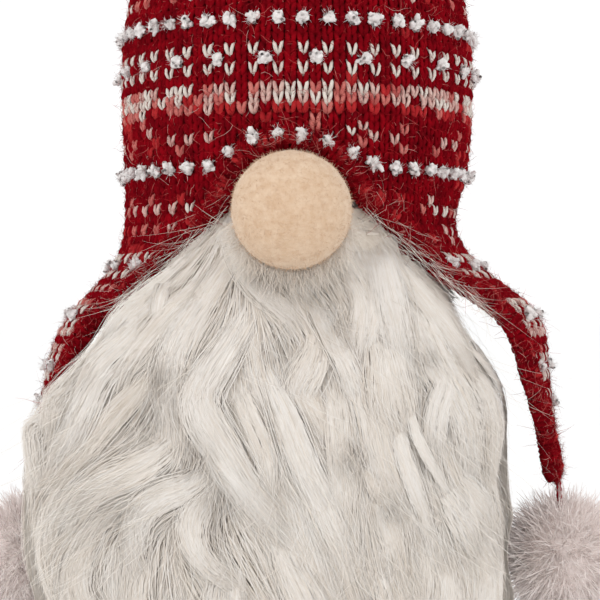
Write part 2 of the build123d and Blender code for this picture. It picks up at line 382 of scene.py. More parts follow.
def row_lift(angle, run):
    """How far a row rides up over the nose: fully for the low rows, not at all for the high ones."""
    across = CROWN_R * np.cos(angle) - LIFT_X
    width = np.where(across < 0, *LIFT_W)
    share = np.clip((LIFT_TOP - run) / (LIFT_TOP - LIFT_FULL), 0, 1)
    return LIFT * np.exp(-((np.abs(across) / width) ** 3)) * share * (np.sin(angle) < 0)


def hat_surface(angle, run, off):
    """The hat's wall with its rows lifted over the nose."""
    return wall_point(angle, run + row_lift(angle, run), off)


def flap_middle(side):
    return FLAP_MIDDLE if side > 0 else math.pi - FLAP_MIDDLE


def flap_surface(side):
    """The flap's cloth: its columns fan out less than the flare, so that the stitches keep their size."""
    middle = flap_middle(side)

    def surface(angle, run, off):
        radius = hat_profile(run)[0]
        gauge = CROWN_R / (CROWN_R + 0.5 * np.maximum(radius - CROWN_R, 0))
        return wall_point(middle + (angle - middle) * gauge, run, off)

    return surface


def arch_height(x):
    """Height of the hem's lower edge over the face."""
    slopes = ARCH_PEAK_Z - ARCH_SLOPE * np.abs(x)
    bump = NOSE[2] + np.sqrt(np.maximum(ARCH_R**2 - (x - NOSE[0]) ** 2, 0))
    return np.where(np.abs(x - NOSE[0]) < ARCH_R, np.maximum(slopes, bump), slopes)


flap_line = smooth_line(FLAP_SIDE)
tip_at = int(np.argmin(flap_line[:, 1]))
FRONT_EDGE = flap_line[: tip_at + 1][::-1]
BACK_EDGE = flap_line[tip_at:]


def flap_depth(points):
    """How far points lie inside the flap's edge, in the side view; negative outside."""
    flat = points[..., 1:].reshape(-1, 2)
    start, span = flap_line[:-1], np.diff(flap_line, axis=0)
    to = flat[:, None] - start
    t = np.clip((to * span).sum(-1) / (span**2).sum(-1), 0, 1)
    near = np.linalg.norm(to - t[..., None] * span, axis=-1).min(axis=1)
    front = np.interp(flat[:, 1], FRONT_EDGE[:, 1], FRONT_EDGE[:, 0])
    back = np.interp(flat[:, 1], BACK_EDGE[:, 1], BACK_EDGE[:, 0])
    inside = (flat[:, 0] > front) & (flat[:, 0] < back) & (flat[:, 1] > flap_line[tip_at, 1])
    return np.where(inside, near, -near).reshape(points.shape[:-1])


# ---- Knitting ---------------------------------------------------------------------------------------

# One leg of a stitch: across in columns, along in rows, out in millimetres, and half its width.
LEG = np.array(
    [
        (0.06, -0.84, -1.10, 0.50),
        (0.14, -0.46, -0.10, 0.90),
        (0.23, -0.03, 0.30, 1.02),
        (0.31, 0.40, 0.05, 0.90),
        (0.37, 0.84, -1.15, 0.50),
    ]
)
YARN_SIDES = 5
YARN_FAT = np.array([0.93, 0.88, 0.76, 0.66, 0.62])  # of each yarn, as a share of the leg's width
YARN_OUT = np.array([0.0, 0.05, 0.15, 0.3, 0.35])
MOST_STITCHES = 2300  # in one piece, so that its mesh stays light


def knit(name, surface, across, along, tone, body_call, column, row=ROW):
    """Stitches of two legs each, laid on a surface. Returns the pieces, cut so that none is too heavy."""
    made = []
    tall = row + 0 * along
    for part, start in enumerate(range(0, len(across), MOST_STITCHES)):
        cut = slice(start, start + MOST_STITCHES)
        count = len(across[cut])
        side = np.array([-1, 1])[None, :, None]
        a = across[cut, None, None] + (side * LEG[:, 0] + rng.normal(0, 0.025, (count, 2, 1))) * column
        b = along[cut, None, None] + (LEG[:, 1] + rng.normal(0, 0.04, (count, 2, 1))) * tall[cut, None, None]
        yarn = tone[cut, None, None]
        off = LEG[:, 2] + rng.normal(0, 0.14, (count, 2, 1)) + YARN_OUT[yarn]
        centre = surface(a, b, off)
        out = unit(surface(a, b, off + 1.0) - centre)
        plump = LEG[:, 3] * rng.uniform(0.86, 1.12, (count, 2, 1)) * YARN_FAT[yarn] + 0 * a
        size = (count * 2, len(LEG))
        centre, out, plump = centre.reshape(*size, 3), out.reshape(*size, 3), plump.reshape(size)
        points, faces = tubes(centre, out, plump, YARN_SIDES)
        each = 2 * (len(LEG) - 1) * YARN_SIDES
        piece = make_mesh(f"{name}_{part + 1}", points, faces, YARNS, np.repeat(tone[cut], each))
        body_call(piece)
        made.append(piece)
    return made


LUMP_LOOPS = 11
LUMP_HAIRS = 44


def chenille(name, places, outs, radius, body_call):
    """Fluffy white lumps of chenille yarn: a knot of short fat loops with fibres standing off it."""
    count = len(places) * LUMP_LOOPS
    middle, out = np.repeat(places, LUMP_LOOPS, axis=0), np.repeat(outs, LUMP_LOOPS, axis=0)
    size = np.repeat(radius * rng.uniform(0.8, 1.2, (len(places), 1)), LUMP_LOOPS, axis=0)
    spot = random_ways(count) * rng.uniform(0.1, 0.58, (count, 1)) * size
    way, curl = random_ways(count)[:, None], random_ways(count)[:, None]
    t = np.linspace(-1, 1, 5)[None, :, None]
    paths = (middle + spot + out * 0.9)[:, None] + size[:, None] * (0.42 * way * t + 0.30 * curl * t * t)
    fat = np.array([0.55, 0.90, 1.02, 0.90, 0.55]) * rng.uniform(0.75, 1.15, (count, 1))
    points, faces = tubes(paths, out[:, None] + 0.3 + 0 * paths, fat, 6, flat=1.0)
    piece = make_mesh(name, points, faces, [CHENILLE])
    root = np.repeat(places + 0.9 * outs, LUMP_HAIRS, axis=0)
    way = unit(rng.normal(size=root.shape) + np.repeat(outs, LUMP_HAIRS, axis=0) * 0.5)
    t = np.linspace(0.50, 0.98, 4)[None, :, None]
    paths = root[:, None] + way[:, None] * t * radius + random_ways(len(root), 1) * (t - 0.50) ** 2 * 4.5
    width = np.broadcast_to(np.array([0.15, 0.14, 0.11, 0.05]), paths.shape[:2])
    points, faces = ribbons(paths, random_ways(*paths.shape[:2]), width)
    fluff = make_mesh(f"{name}_fluff", points, faces, [CHENILLE])
    for made in (piece, fluff):
        body_call(made)


# Loose fibres: how long they are, how steeply they stand, and their yarns with the share of each. Those of
# HALO are longer and stand well clear of the yarn.
FUZZ = {"reach": (1.5, 4.5), "stand": (0.05, 0.5), "tones": (0, 1, 2), "share": (0.7, 0.2, 0.1)}
HALO = {"reach": (3.5, 9.0), "stand": (0.15, 0.6), "tones": (0, 1, 2, 3), "share": (0.45, 0.25, 0.2, 0.1)}


def fuzz(name, surface, across, along, count, body_call, style=FUZZ):
    """Loose fibres that stand off the yarn."""
    pick = rng.integers(0, len(across), count)
    a = across[pick] + rng.uniform(-0.5, 0.5, count) * COLUMN_TURN
    b = along[pick] + rng.uniform(-0.5, 0.5, count) * ROW
    root = surface(a, b, 0.2)
    out = unit(surface(a, b, 1.2) - root)
    side = random_ways(count)
    side = unit(side - (side * out).sum(-1, keepdims=True) * out)
    length = rng.uniform(*style["reach"], (count, 1)) * rng.uniform(0.5, 1, (count, 1))
    lift = rng.uniform(*style["stand"], (count, 1))
    curl = random_ways(count)
    t = np.linspace(0, 1, 5)[None, :, None]
    rise = (lift * length)[:, None] * (t - 0.55 * t * t)
    paths = root[:, None] + out[:, None] * (rise + 0.5) + side[:, None] * length[:, None] * t
    swirl = random_ways(count)
    paths = paths + curl[:, None] * length[:, None] * 0.5 * t * t
    paths = paths + swirl[:, None] * length[:, None] * 0.12 * np.sin(5 * t)
    width = np.broadcast_to(np.array([0.10, 0.10, 0.09, 0.07, 0.03]), paths.shape[:2])
    points, faces = ribbons(paths, out[:, None] + rng.normal(0, 0.4, (count, 1, 3)) + 0 * paths, width)
    tone = np.repeat(rng.choice(len(style["tones"]), count, p=style["share"]), 4)
    piece = make_mesh(name, points, faces, [YARNS[k] for k in style["tones"]], tone)
    body_call(piece)


COLUMN_TURN = 2 * math.pi / COLUMNS
TOP_ROW_Z = 281.3  # a row of single stitches crosses the front here, and the pattern repeats above it

# PATTERN goes row by row downwards from there, and REPEAT row by row upwards above it. P plain, S every
# other stitch off-white, D every fourth a chenille lump, V pale variegated, C coral and bright red, R every
# other stitch mostly pink, F a few coral, W every other a lump.
PATTERN = "SDSPVVCPFRFPWPPFRPRFPSDSPRPVSDSVPRSDSPSDSPRPP"
REPEAT = "PPWPPRPPCVVPPSDSP"


def pattern_row(row):
    """The pattern's letter for a row, counted downwards from the top row of single stitches."""
    if row >= 0:
        return PATTERN[min(row, len(PATTERN) - 1)]
    return REPEAT[(-row - 1) % len(REPEAT)]


def tones_for(letter, column, row=0):
    """Yarn colours of one row's stitches, and where its lumps sit. The ground yarn changes shade in runs."""
    count = len(column)
    turn = 2 * np.pi * column / max(count, 1)
    wander = lumps(np.stack([np.cos(turn) * 9, np.sin(turn) * 9, 0 * turn + row * 1.4], axis=-1), 3.2, 71)
    wander = wander + rng.normal(0, 0.22, count)
    tone = np.where(wander > 1.18, 2, np.where(wander > 0.78, 1, 0))
    lump = np.zeros(count, dtype=bool)
    even = column % 2 == 0
    if letter == "S":
        tone = np.where(even, 4, tone)
    elif letter == "D":
        lump = column % 4 == 1
    elif letter == "V":
        tone = rng.choice(5, count, p=[0.10, 0.06, 0.16, 0.36, 0.32])
    elif letter == "C":
        tone = rng.choice(5, count, p=[0.26, 0.40, 0.24, 0.08, 0.02])
    elif letter == "R":
        tone = np.where(even, rng.choice(5, count, p=[0.16, 0.10, 0.24, 0.34, 0.16]), tone)
    elif letter == "F":
        tone = np.where(column % 4 == 1, rng.choice(5, count, p=[0.2, 0.3, 0.4, 0.1, 0.0]), tone)
    elif letter == "W":
        lump = even
    return tone, lump


def ring_stitches(columns):
    """Angles of the stitches of one row."""
    return FRONT + (np.arange(columns) + 0.5) * 2 * math.pi / columns


# Fewer stitches fit round the hat as it narrows: run from, and stitches in a row.
DECREASES = [(0, 96), (306, 84), (322, 72), (340, 60), (362, 48), (392, 36), (420, 26), (446, 18), (468, 10)]


def columns_at(run):
    return [count for low, count in DECREASES if run >= low][-1]


def rides(body):
    return lambda piece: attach(piece, body)


def bends():
    """Bakes each piece's place into its mesh."""
    def call(piece):
        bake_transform(piece)
    return call


crown_call = rides("gnome")
top_call = bends()
flap_calls = {
    1: bends(),
    -1: bends(),
}
TOP_FROM = 346  # run where the top takes over from the crown


def hat_rows():
    """Every stitch of the hat's tube: angle, run, tone, column width and whether it is a lump."""
    rows = []
    low_row = int((TOP_ROW_Z - 205) / ROW)
    high_row = -int((TIP_RUN - TOP_ROW_Z) / ROW)
    for row in range(high_row, low_row + 1):
        run = TOP_ROW_Z - ROW * row
        columns = columns_at(run)
        angle = ring_stitches(columns)
        tone, lump = tones_for(pattern_row(row), np.arange(columns), row)
        width = np.full(columns, 2 * math.pi / columns)
        rows.append(np.stack([angle, np.full(columns, run), tone, width, lump], axis=1))
    return np.vstack(rows)


def inside_crown(points, clear=EDGE_W - 2.2):
    """Stitches of the tube that stay: above the rim, and clear of the folded hem over the face."""
    x, y, z = points[..., 0], points[..., 1], points[..., 2]
    over_face = (z - arch_height(x)) * math.cos(math.atan(ARCH_SLOPE)) > clear
    root = RIM_Z - 1.08 * np.maximum(-34 - y, 0)
    return np.where(y < 0, over_face & (z > root), z > RIM_Z)


def make_hat_tube():
    """Knits the crown and the top, and leaves out every other row where they crowd over the nose."""
    stitches = hat_rows()
    points = hat_surface(stitches[:, 0], stitches[:, 1], 0.0)
    inside = inside_crown(points) | ((stitches[:, 4] == 1) & inside_crown(points, EDGE_W - 4.0))
    angle, run = stitches[:, 0], stitches[:, 1]
    crowding = 1 + (row_lift(angle, run + 1) - row_lift(angle, run - 1)) / 2
    odd = np.round((TOP_ROW_Z - run) / ROW).astype(int) % 2 == 1
    crowded = crowding < CROWDED
    stretch = np.where(crowded, 2.0, 1.0)
    stitches = np.column_stack([stitches, stretch])[inside & ~(crowded & odd)]
    for name, low, high, call, crowd in [
        ("hat_crown_knit", 0, TOP_FROM, crown_call, 5.5),
        ("hat_top_knit", TOP_FROM, 1000, top_call, 4),
    ]:
        part = stitches[(stitches[:, 1] >= low) & (stitches[:, 1] < high)]
        plain = part[part[:, 4] == 0]
        for column in sorted(set(np.round(plain[:, 3], 6))):
            group = plain[np.abs(plain[:, 3] - column) < 1e-5]
            label = f"{name}_{round(2 * math.pi / column)}"
            tone = group[:, 2].astype(int)
            made = knit(label, hat_surface, group[:, 0], group[:, 1], tone, call, column, ROW * group[:, 5])
        lumpy = part[part[:, 4] == 1]
        place = hat_surface(lumpy[:, 0], lumpy[:, 1], 0.5)
        out = unit(hat_surface(lumpy[:, 0], lumpy[:, 1], 1.5) - place)
        chenille(f"{name}_lumps", place, out, 2.8, call)
        count = int(crowd * len(part))
        fuzz(f"{name}_fuzz", hat_surface, part[:, 0], part[:, 1], count, call)
        fuzz(f"{name}_halo", hat_surface, part[:, 0], part[:, 1], count // 9, call, HALO)


def make_under_cloth(name, surface, angles, runs, keep, body_call):
    """Thin closed cloth behind the stitches, so that no light shows through them."""
    a, b = np.meshgrid(angles, runs, indexing="ij")
    outer, inner = surface(a, b, -0.9), surface(a, b, -1.9)
    rows, columns = a.shape
    solid = keep(surface(a, b, 0.0))
    cell = solid[:-1, :-1] & solid[1:, :-1] & solid[:-1, 1:] & solid[1:, 1:]
    i, j = np.nonzero(cell)
    first = i * columns + j
    face = np.stack([first, first + columns, first + columns + 1, first + 1], axis=1)
    layer = rows * columns
    faces = np.vstack([face, face[:, ::-1] + layer])
    edges = {}
    for quad in face:
        for p, q in zip(quad, np.roll(quad, -1)):
            if (q, p) in edges:
                del edges[(q, p)]
            else:
                edges[(p, q)] = True
    rim = np.array([(q, p, p + layer, q + layer) for p, q in edges])
    points = np.vstack([outer.reshape(-1, 3), inner.reshape(-1, 3)])
    faces = np.vstack([faces, rim])
    used, index = np.unique(faces, return_inverse=True)
    piece = make_mesh(name, points[used], index.reshape(-1, 4), [CLOTH_RED])
    body_call(piece)
    return piece


# ---- Folded hems ------------------------------------------------------------------------------------

# The fold's section: in from the edge, and out of the cloth. It runs from the outer face round to the back.
FOLD = smooth_line([(6.6, -0.9), (5.0, 0.5), (2.8, 0.9), (0.8, 0.2), (-0.1, -1.9), (1.2, -3.6), (4.0, -3.9)])
fold_run = along_line(FOLD)
fold_slope = unit(np.gradient(FOLD, axis=0))


def fold_surface(line, outs):
    """Surface of a folded edge that follows a line on the hat's wall."""
    run = along_line(line)
    ways = unit(np.gradient(line, axis=0))
    ins = unit(np.cross(outs, ways))

    def surface(a, b, off):
        a, b, off = np.broadcast_arrays(a, b, off)

        def at(values):
            return np.stack([np.interp(a, run, values[:, i]) for i in range(3)], axis=-1)

        inward = np.interp(b, fold_run, FOLD[:, 0]) + off * np.interp(b, fold_run, fold_slope[:, 1])
        outward = np.interp(b, fold_run, FOLD[:, 1]) - off * np.interp(b, fold_run, fold_slope[:, 0])
        return at(line) + inward[..., None] * at(ins) + outward[..., None] * at(outs)

    return surface, run[-1]


def wall_outs(points):
    """Outward directions of the hat's wall at points on it."""
    angle = np.arctan2(points[:, 1], points[:, 0])
    slope = np.stack([np.interp(points[:, 2], hat_line[:, 1], hat_slope[:, k]) for k in (1, 0)], axis=1)
    return unit(np.stack([slope[:, 0] * np.cos(angle), slope[:, 0] * np.sin(angle), -slope[:, 1]], axis=1))


def on_wall(height, side=0):
    """Radius of the hems' middle line; side is 1 on the right flap, where the wall swells and draws in."""
    return np.interp(height, hat_line[:, 1], hat_line[:, 0]) - 0.8 + side * swelling(height)


def front_hem_line():
    """Along the arch over the face, from the left flap to the right one."""
    x = np.linspace(-ARCH_END_X, ARCH_END_X, 200)
    z = arch_height(x)
    kernel = np.ones(9) / 9
    z = np.convolve(np.pad(z, 4, mode="edge"), kernel, mode="valid")
    y = -np.sqrt(on_wall(z) ** 2 - x**2)
    return np.stack([x, y, z], axis=1)


def flap_hem_line(side):
    """Round a flap's edge. It runs so that the cloth lies on the same hand as on the front hem."""
    y, z = flap_line[:, 0], flap_line[:, 1]
    share = max(side, 0) * (1 - (y / on_wall(z)) ** 2)
    x = side * np.sqrt(on_wall(z, share) ** 2 - y**2)
    line = np.stack([x, y, z], axis=1)
    return line if side > 0 else line[::-1]


def back_hem_line():
    """Round the back, from the right flap to the left one."""
    start = math.asin(FLAP_SIDE[-1][0] / CROWN_R)
    angle = np.linspace(start, math.pi - start, 160)
    z = np.full(160, RIM_Z - 7.0)
    r = on_wall(z)
    return np.stack([r * np.cos(angle), r * np.sin(angle), z], axis=1)


HEM_PITCH = 3.7  # from one stitch of a hem to the next
HEM_GRID = (240, 18)  # points of a hem's core along it and round its fold


def make_hem(name, line, body_call):
    """A folded edge, knitted row by row round the fold, over a smooth core."""
    surface, length = fold_surface(line, wall_outs(line))

    def flipped(a, b, off):
        return surface(a, fold_run[-1] - b, off)

    a, b = np.meshgrid(
        np.arange(HEM_PITCH / 2, length, HEM_PITCH), np.arange(1.2, fold_run[-1], ROW * 0.92), indexing="xy"
    )
    a, b = a.ravel(), b.ravel()
    tone, _ = tones_for("P", np.arange(len(a)))
    # The legs point away from the fold on both faces, so the rows run the other way along it.
    made = knit(name, flipped, a, fold_run[-1] - b, tone, body_call, HEM_PITCH)
    columns, rows = HEM_GRID
    core_a, core_b = np.meshgrid(
        np.linspace(0, length, columns), np.linspace(0, fold_run[-1], rows), indexing="ij"
    )
    points = surface(core_a, core_b, -0.7).reshape(-1, 3)
    core = make_mesh(f"{name}_core", points, grid_faces(columns, rows), [CLOTH_RED])
    body_call(core)
    count = int(length * 22)
    for kind, share, style in [("fuzz", 1.0, FUZZ), ("halo", 0.12, HALO)]:
        number = int(count * share)
        places = rng.uniform(0, length, number), rng.uniform(2, 9, number)
        fuzz(f"{name}_{kind}", surface, *places, number, body_call, style)
    return made[0]


# ---- Hat --------------------------------------------------------------------------------------------

def whole(points):
    return np.ones(points.shape[:-1], dtype=bool)


def make_hat_cloth(name, columns, runs, keep, body_call):
    around = np.linspace(FRONT, FRONT + 2 * math.pi, columns + 1)
    return make_under_cloth(name, hat_surface, around, runs, keep, body_call)


make_hat_tube()
crown_runs = np.linspace(206, TOP_FROM + 1, 94)
top_runs = np.linspace(TOP_FROM, TIP_RUN - 0.5, 70)
crown_cloth = make_hat_cloth("hat_crown_cloth", 192, crown_runs, inside_crown, crown_call)
top_cloth = make_hat_cloth("hat_top_cloth", 96, top_runs, whole, top_call)
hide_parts("hat_crown")
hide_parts("hat_tip")
front_hem = make_hem("hat_hem_front_knit", front_hem_line(), crown_call)
back_hem = make_hem("hat_hem_back_knit", back_hem_line(), crown_call)
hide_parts("hat_hem_front")
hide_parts("hat_hem_back")


def flap_kept(points):
    """Flap stitches: below the root line and inside the folded edge."""
    y, z = points[..., 1], points[..., 2]
    root = RIM_Z - 1.08 * np.maximum(-34 - y, 0)
    return (z <= root) & (flap_depth(points) > EDGE_W - 2.2)


FLAP_LOW = 132.0  # flap rows are tried down to this run, past the tip
FLAP_TURN = 1.0  # and stitches as far round as this to each side of the flap's middle


def flap_rows(side, middle):
    """Every stitch that may lie on a flap: angle, run, tone and whether it is a lump."""
    rows = []
    for row in range(int((TOP_ROW_Z - RIM_Z) / ROW), int((TOP_ROW_Z - FLAP_LOW) / ROW)):
        angle = ring_stitches(COLUMNS)
        turn = (angle - middle + math.pi) % (2 * math.pi) - math.pi
        near = (np.abs(turn) < FLAP_TURN) & (np.cos(angle) * side > 0)
        tone, lump = tones_for(pattern_row(row), np.arange(COLUMNS), row)
        run = np.full(COLUMNS, TOP_ROW_Z - ROW * row)
        rows.append(np.stack([middle + turn, run, tone, lump], axis=1)[near])
    return np.vstack(rows)


def make_flap(side, label):
    """One ear flap: its stitches, lumps and fibres, its cloth, its lining and its folded edge."""
    surface = flap_surface(side)
    call = flap_calls[side]
    middle = flap_middle(side)
    part = flap_rows(side, middle)
    part = part[flap_kept(surface(part[:, 0], part[:, 1], 0.0))]
    plain, lumpy = part[part[:, 3] == 0], part[part[:, 3] == 1]
    tone = plain[:, 2].astype(int)
    made = knit(f"ear_flap_{label}_knit", surface, plain[:, 0], plain[:, 1], tone, call, COLUMN_TURN)
    place = surface(lumpy[:, 0], lumpy[:, 1], 0.2)
    out = unit(surface(lumpy[:, 0], lumpy[:, 1], 1.2) - place)
    chenille(f"ear_flap_{label}_lumps", place, out, 2.8, call)
    fuzz(f"ear_flap_{label}_fuzz", surface, part[:, 0], part[:, 1], 9 * len(part), call)
    fuzz(f"ear_flap_{label}_halo", surface, part[:, 0], part[:, 1], len(part), call, HALO)
    grid = middle + np.linspace(-FLAP_TURN, FLAP_TURN, 61), np.linspace(136, RIM_Z + 1, 60)

    def on_cloth(points):
        return (flap_depth(points) > 2.0) & (points[..., 2] <= RIM_Z + 1)

    def on_lining(points):
        return (flap_depth(points) > 2.6) & (points[..., 2] <= RIM_Z - 2)

    def behind(angle, run, off):
        return surface(angle, run, off - 2.2)

    cloth = make_under_cloth(f"ear_flap_{label}_cloth", surface, *grid, on_cloth, call)
    lining = make_under_cloth(f"ear_flap_{label}_inside", behind, *grid, on_lining, call)
    hem = make_hem(f"ear_flap_edge_{label}_knit", flap_hem_line(side), call)
    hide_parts(f"ear_flap_{label}")
    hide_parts(f"ear_flap_edge_{label}")
    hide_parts(f"ear_flap_lining_{label}")


make_flap(1, "right")
make_flap(-1, "left")


# ---- Turned soft shapes -----------------------------------------------------------------------------


def turned_mesh(name, side, segments, material, wave=None, steps=10):
    """A closed turned surface through (radius, height) points, pushed in and out by wave(points)."""
    line = smooth_line(side, steps)
    slope = unit(np.gradient(line, axis=0))
    angle = np.linspace(0, 2 * np.pi, segments, endpoint=False)
    r, z = np.maximum(line[:, 0], 0.02), line[:, 1]
    c, s = np.cos(angle)[:, None], np.sin(angle)[:, None]
    points = np.stack([r * c, r * s, z + 0 * c], axis=-1)
    outs = np.stack([slope[:, 1] * c, slope[:, 1] * s, -slope[:, 0] + 0 * c], axis=-1)
    if wave is not None:
        points = points + outs * wave(points)[..., None]
    rows = len(line)
    i, j = np.meshgrid(np.arange(segments), np.arange(rows - 1), indexing="ij")
    after = (i + 1) % segments
    faces = np.stack([i * rows + j, after * rows + j, after * rows + j + 1, i * rows + j + 1], axis=-1)
    ends = np.array([np.arange(segments)[::-1] * rows, np.arange(segments) * rows + rows - 1])
    piece = make_mesh(name, points.reshape(-1, 3), faces.reshape(-1, 4), [material])
    bm = bmesh.new()
    bm.from_mesh(piece.data)
    bm.verts.ensure_lookup_table()
    for end in ends:
        bm.faces.new([bm.verts[k] for k in end]).smooth = True
    bm.to_mesh(piece.data)
    bm.free()
    return piece


def soft_ball(name, centre, radius, material, rough, grain, body_call, squash=(1, 1, 1), level=5):
    """A ball with an uneven surface."""
    bm = bmesh.new()
    bmesh.ops.create_icosphere(bm, subdivisions=level, radius=1)
    shape = np.array([v.co[:] for v in bm.verts])
    faces = np.array([[v.index for v in f.verts] for f in bm.faces])
    bm.free()
    swell = 1 + rough * (lumps(shape, grain, 21) + 0.5 * lumps(shape, grain / 2.5, 22))
    points = np.asarray(centre) + shape * np.array(squash) * (radius * swell)[:, None]
    piece = make_mesh(name, points, faces, [material])
    body_call(piece)
    return piece


def ball_fur(
    name, centre, radius, count, length, body_call, material, thick, stand=1.0, sag=0.0, squash=(1, 1, 1)
):
    """Hairs all over a ball."""
    way = random_ways(count)
    root = np.asarray(centre) + way * np.array(squash) * radius
    side = random_ways(count)
    way = unit(way * stand + side * rng.uniform(0.1, 0.9, (count, 1)))
    t = np.linspace(0, 1, 6)[None, :, None]
    reach = length * rng.uniform(0.55, 1.15, (count, 1))[:, None]
    curl = random_ways(count, 1)
    paths = root[:, None] + way[:, None] * reach * t + curl * reach * 0.22 * t * t
    paths = paths + np.array([0, 0, -1.0]) * reach * sag * t * t
    width = thick * np.array([1, 1, 0.95, 0.8, 0.55, 0.2]) + 0 * paths[..., 0]
    points, faces = ribbons(paths, random_ways(count, 1) + 0 * paths, width)
    piece = make_mesh(name, points, faces, [material])
    body_call(piece)
    return piece


# ---- Body -------------------------------------------------------------------------------------------

BASE_SIDE = [(0, 0), (30, 0), (56, 0.05), (60, 0.7), (60.2, 1.2), (58, 1.7), (30, 1.6), (0, 1.6)]
body_line = smooth_line(BODY_SIDE)
pile_line = smooth_line(PILE_SIDE)


def body_radius(z):
    return np.interp(z, body_line[:, 1], body_line[:, 0])


def pile_radius(z):
    return np.interp(z, pile_line[::-1, 1], pile_line[::-1, 0])


def make_body():
    """The plush sack with its nap, and the panel that it stands on."""
    call = rides("gnome")
    sack = turned_mesh(
        "body_plush_sack", BODY_SIDE, 160, PLUSH, lambda p: 0.5 * lumps(p, 26, 5) + 0.25 * lumps(p, 9, 6)
    )
    call(sack)
    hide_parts("body_cloth")
    count = 13000
    z = rng.uniform(1.5, 236, count)
    angle = rng.uniform(0, 2 * np.pi, count)
    out = np.stack([np.cos(angle), np.sin(angle), 0 * angle], axis=1)
    root = out * body_radius(z)[:, None]
    root[:, 2] = z
    way = unit(out * 0.55 + np.array([0, 0, -0.8]) + rng.normal(0, 0.35, (count, 3)))
    t = np.linspace(0, 1, 4)[None, :, None]
    reach = rng.uniform(2.0, 4.2, (count, 1, 1))
    paths = root[:, None] + way[:, None] * reach * t + out[:, None] * reach * 0.2 * t * t
    paths[..., 2] = np.maximum(paths[..., 2], 0.3)
    width = np.array([0.6, 0.5, 0.36, 0.1]) + 0 * paths[..., 0]
    points, faces = ribbons(paths, out[:, None] + rng.normal(0, 0.4, (count, 1, 3)) + 0 * paths, width)
    nap = make_mesh("body_plush_fibres", points, faces, [PLUSH_NAP])
    call(nap)
    base = turned_mesh("base_panel", BASE_SIDE, 96, PLUSH, steps=4)
    call(base)
    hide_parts("base_cloth")


# ---- Nose -------------------------------------------------------------------------------------------


NOSE_SQUASH = (1, 0.96, 0.985)


def make_nose():
    """The felt ball and its short nap."""
    call = rides("gnome")
    ball = soft_ball("nose_ball", NOSE, NOSE_R - 0.5, FELT, 0.006, 0.28, call, squash=NOSE_SQUASH, level=6)
    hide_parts("nose_cover")
    nap = ball_fur(
        "nose_nap", NOSE, NOSE_R - 0.6, 6000, 1.1, call, FELT, 0.12, stand=0.4, squash=NOSE_SQUASH
    )


# ---- Beard ------------------------------------------------------------------------------------------


BEARD_LOCKS = 270
EDGE_LOCKS = 100
EDGE_LOCK_HAIRS = 44
COAT_HAIRS = 15000
COAT_POINTS = 6
BACKING_TURN = math.radians(56)
BACKING_Z = (74.0, 226.0)
LOCK_HAIRS = 92
HAIR_POINTS = 12
BEARD_TONES = [FUR_DARK_AND_PAINTED_SHADE, FUR, FUR_PALE_AND_PAINTED_LIGHT]
# Each kind's shares of the darker, middle and paler tones. On the large locks the kinds are painted light and
# painted shade; the other locks draw theirs at random.
TONE_SHARES = {  # of the three tones in a lock
    "shade": (0.6, 0.34, 0.06),
    "mid": (0.2, 0.6, 0.2),
    "light": (0.08, 0.52, 0.4),
    "bright": (0.04, 0.36, 0.6),
}

# Half width of the beard at each height, on its right and on its fuller left side.
EDGE_RIGHT = [(28, 30), (50, 44), (80, 58), (110, 66), (135, 69), (150, 67),
              (165, 66), (178, 64), (190, 60), (205, 52), (216, 47), (230, 40)]
EDGE_LEFT = [(28, 32), (50, 46), (75, 60), (100, 74), (125, 83), (150, 87),
             (170, 87), (185, 84), (195, 81), (205, 70), (216, 53), (230, 40)]
OVERHANG = 4.5  # hair goes past those edges by this much at most
END_Z = 26.0  # below this height the hair is drawn in, short of the ground
EDGE_Y = (36.0, 20.0)  # how far forward the left and the right edge lie
HOLLOW_DEPTH = 7.0
SIDE_TURN = math.radians(62)  # how far round the body the fur at the sides is rooted
PILE = 22.0  # about the fur's greatest thickness, which turns a height into a share of its depth

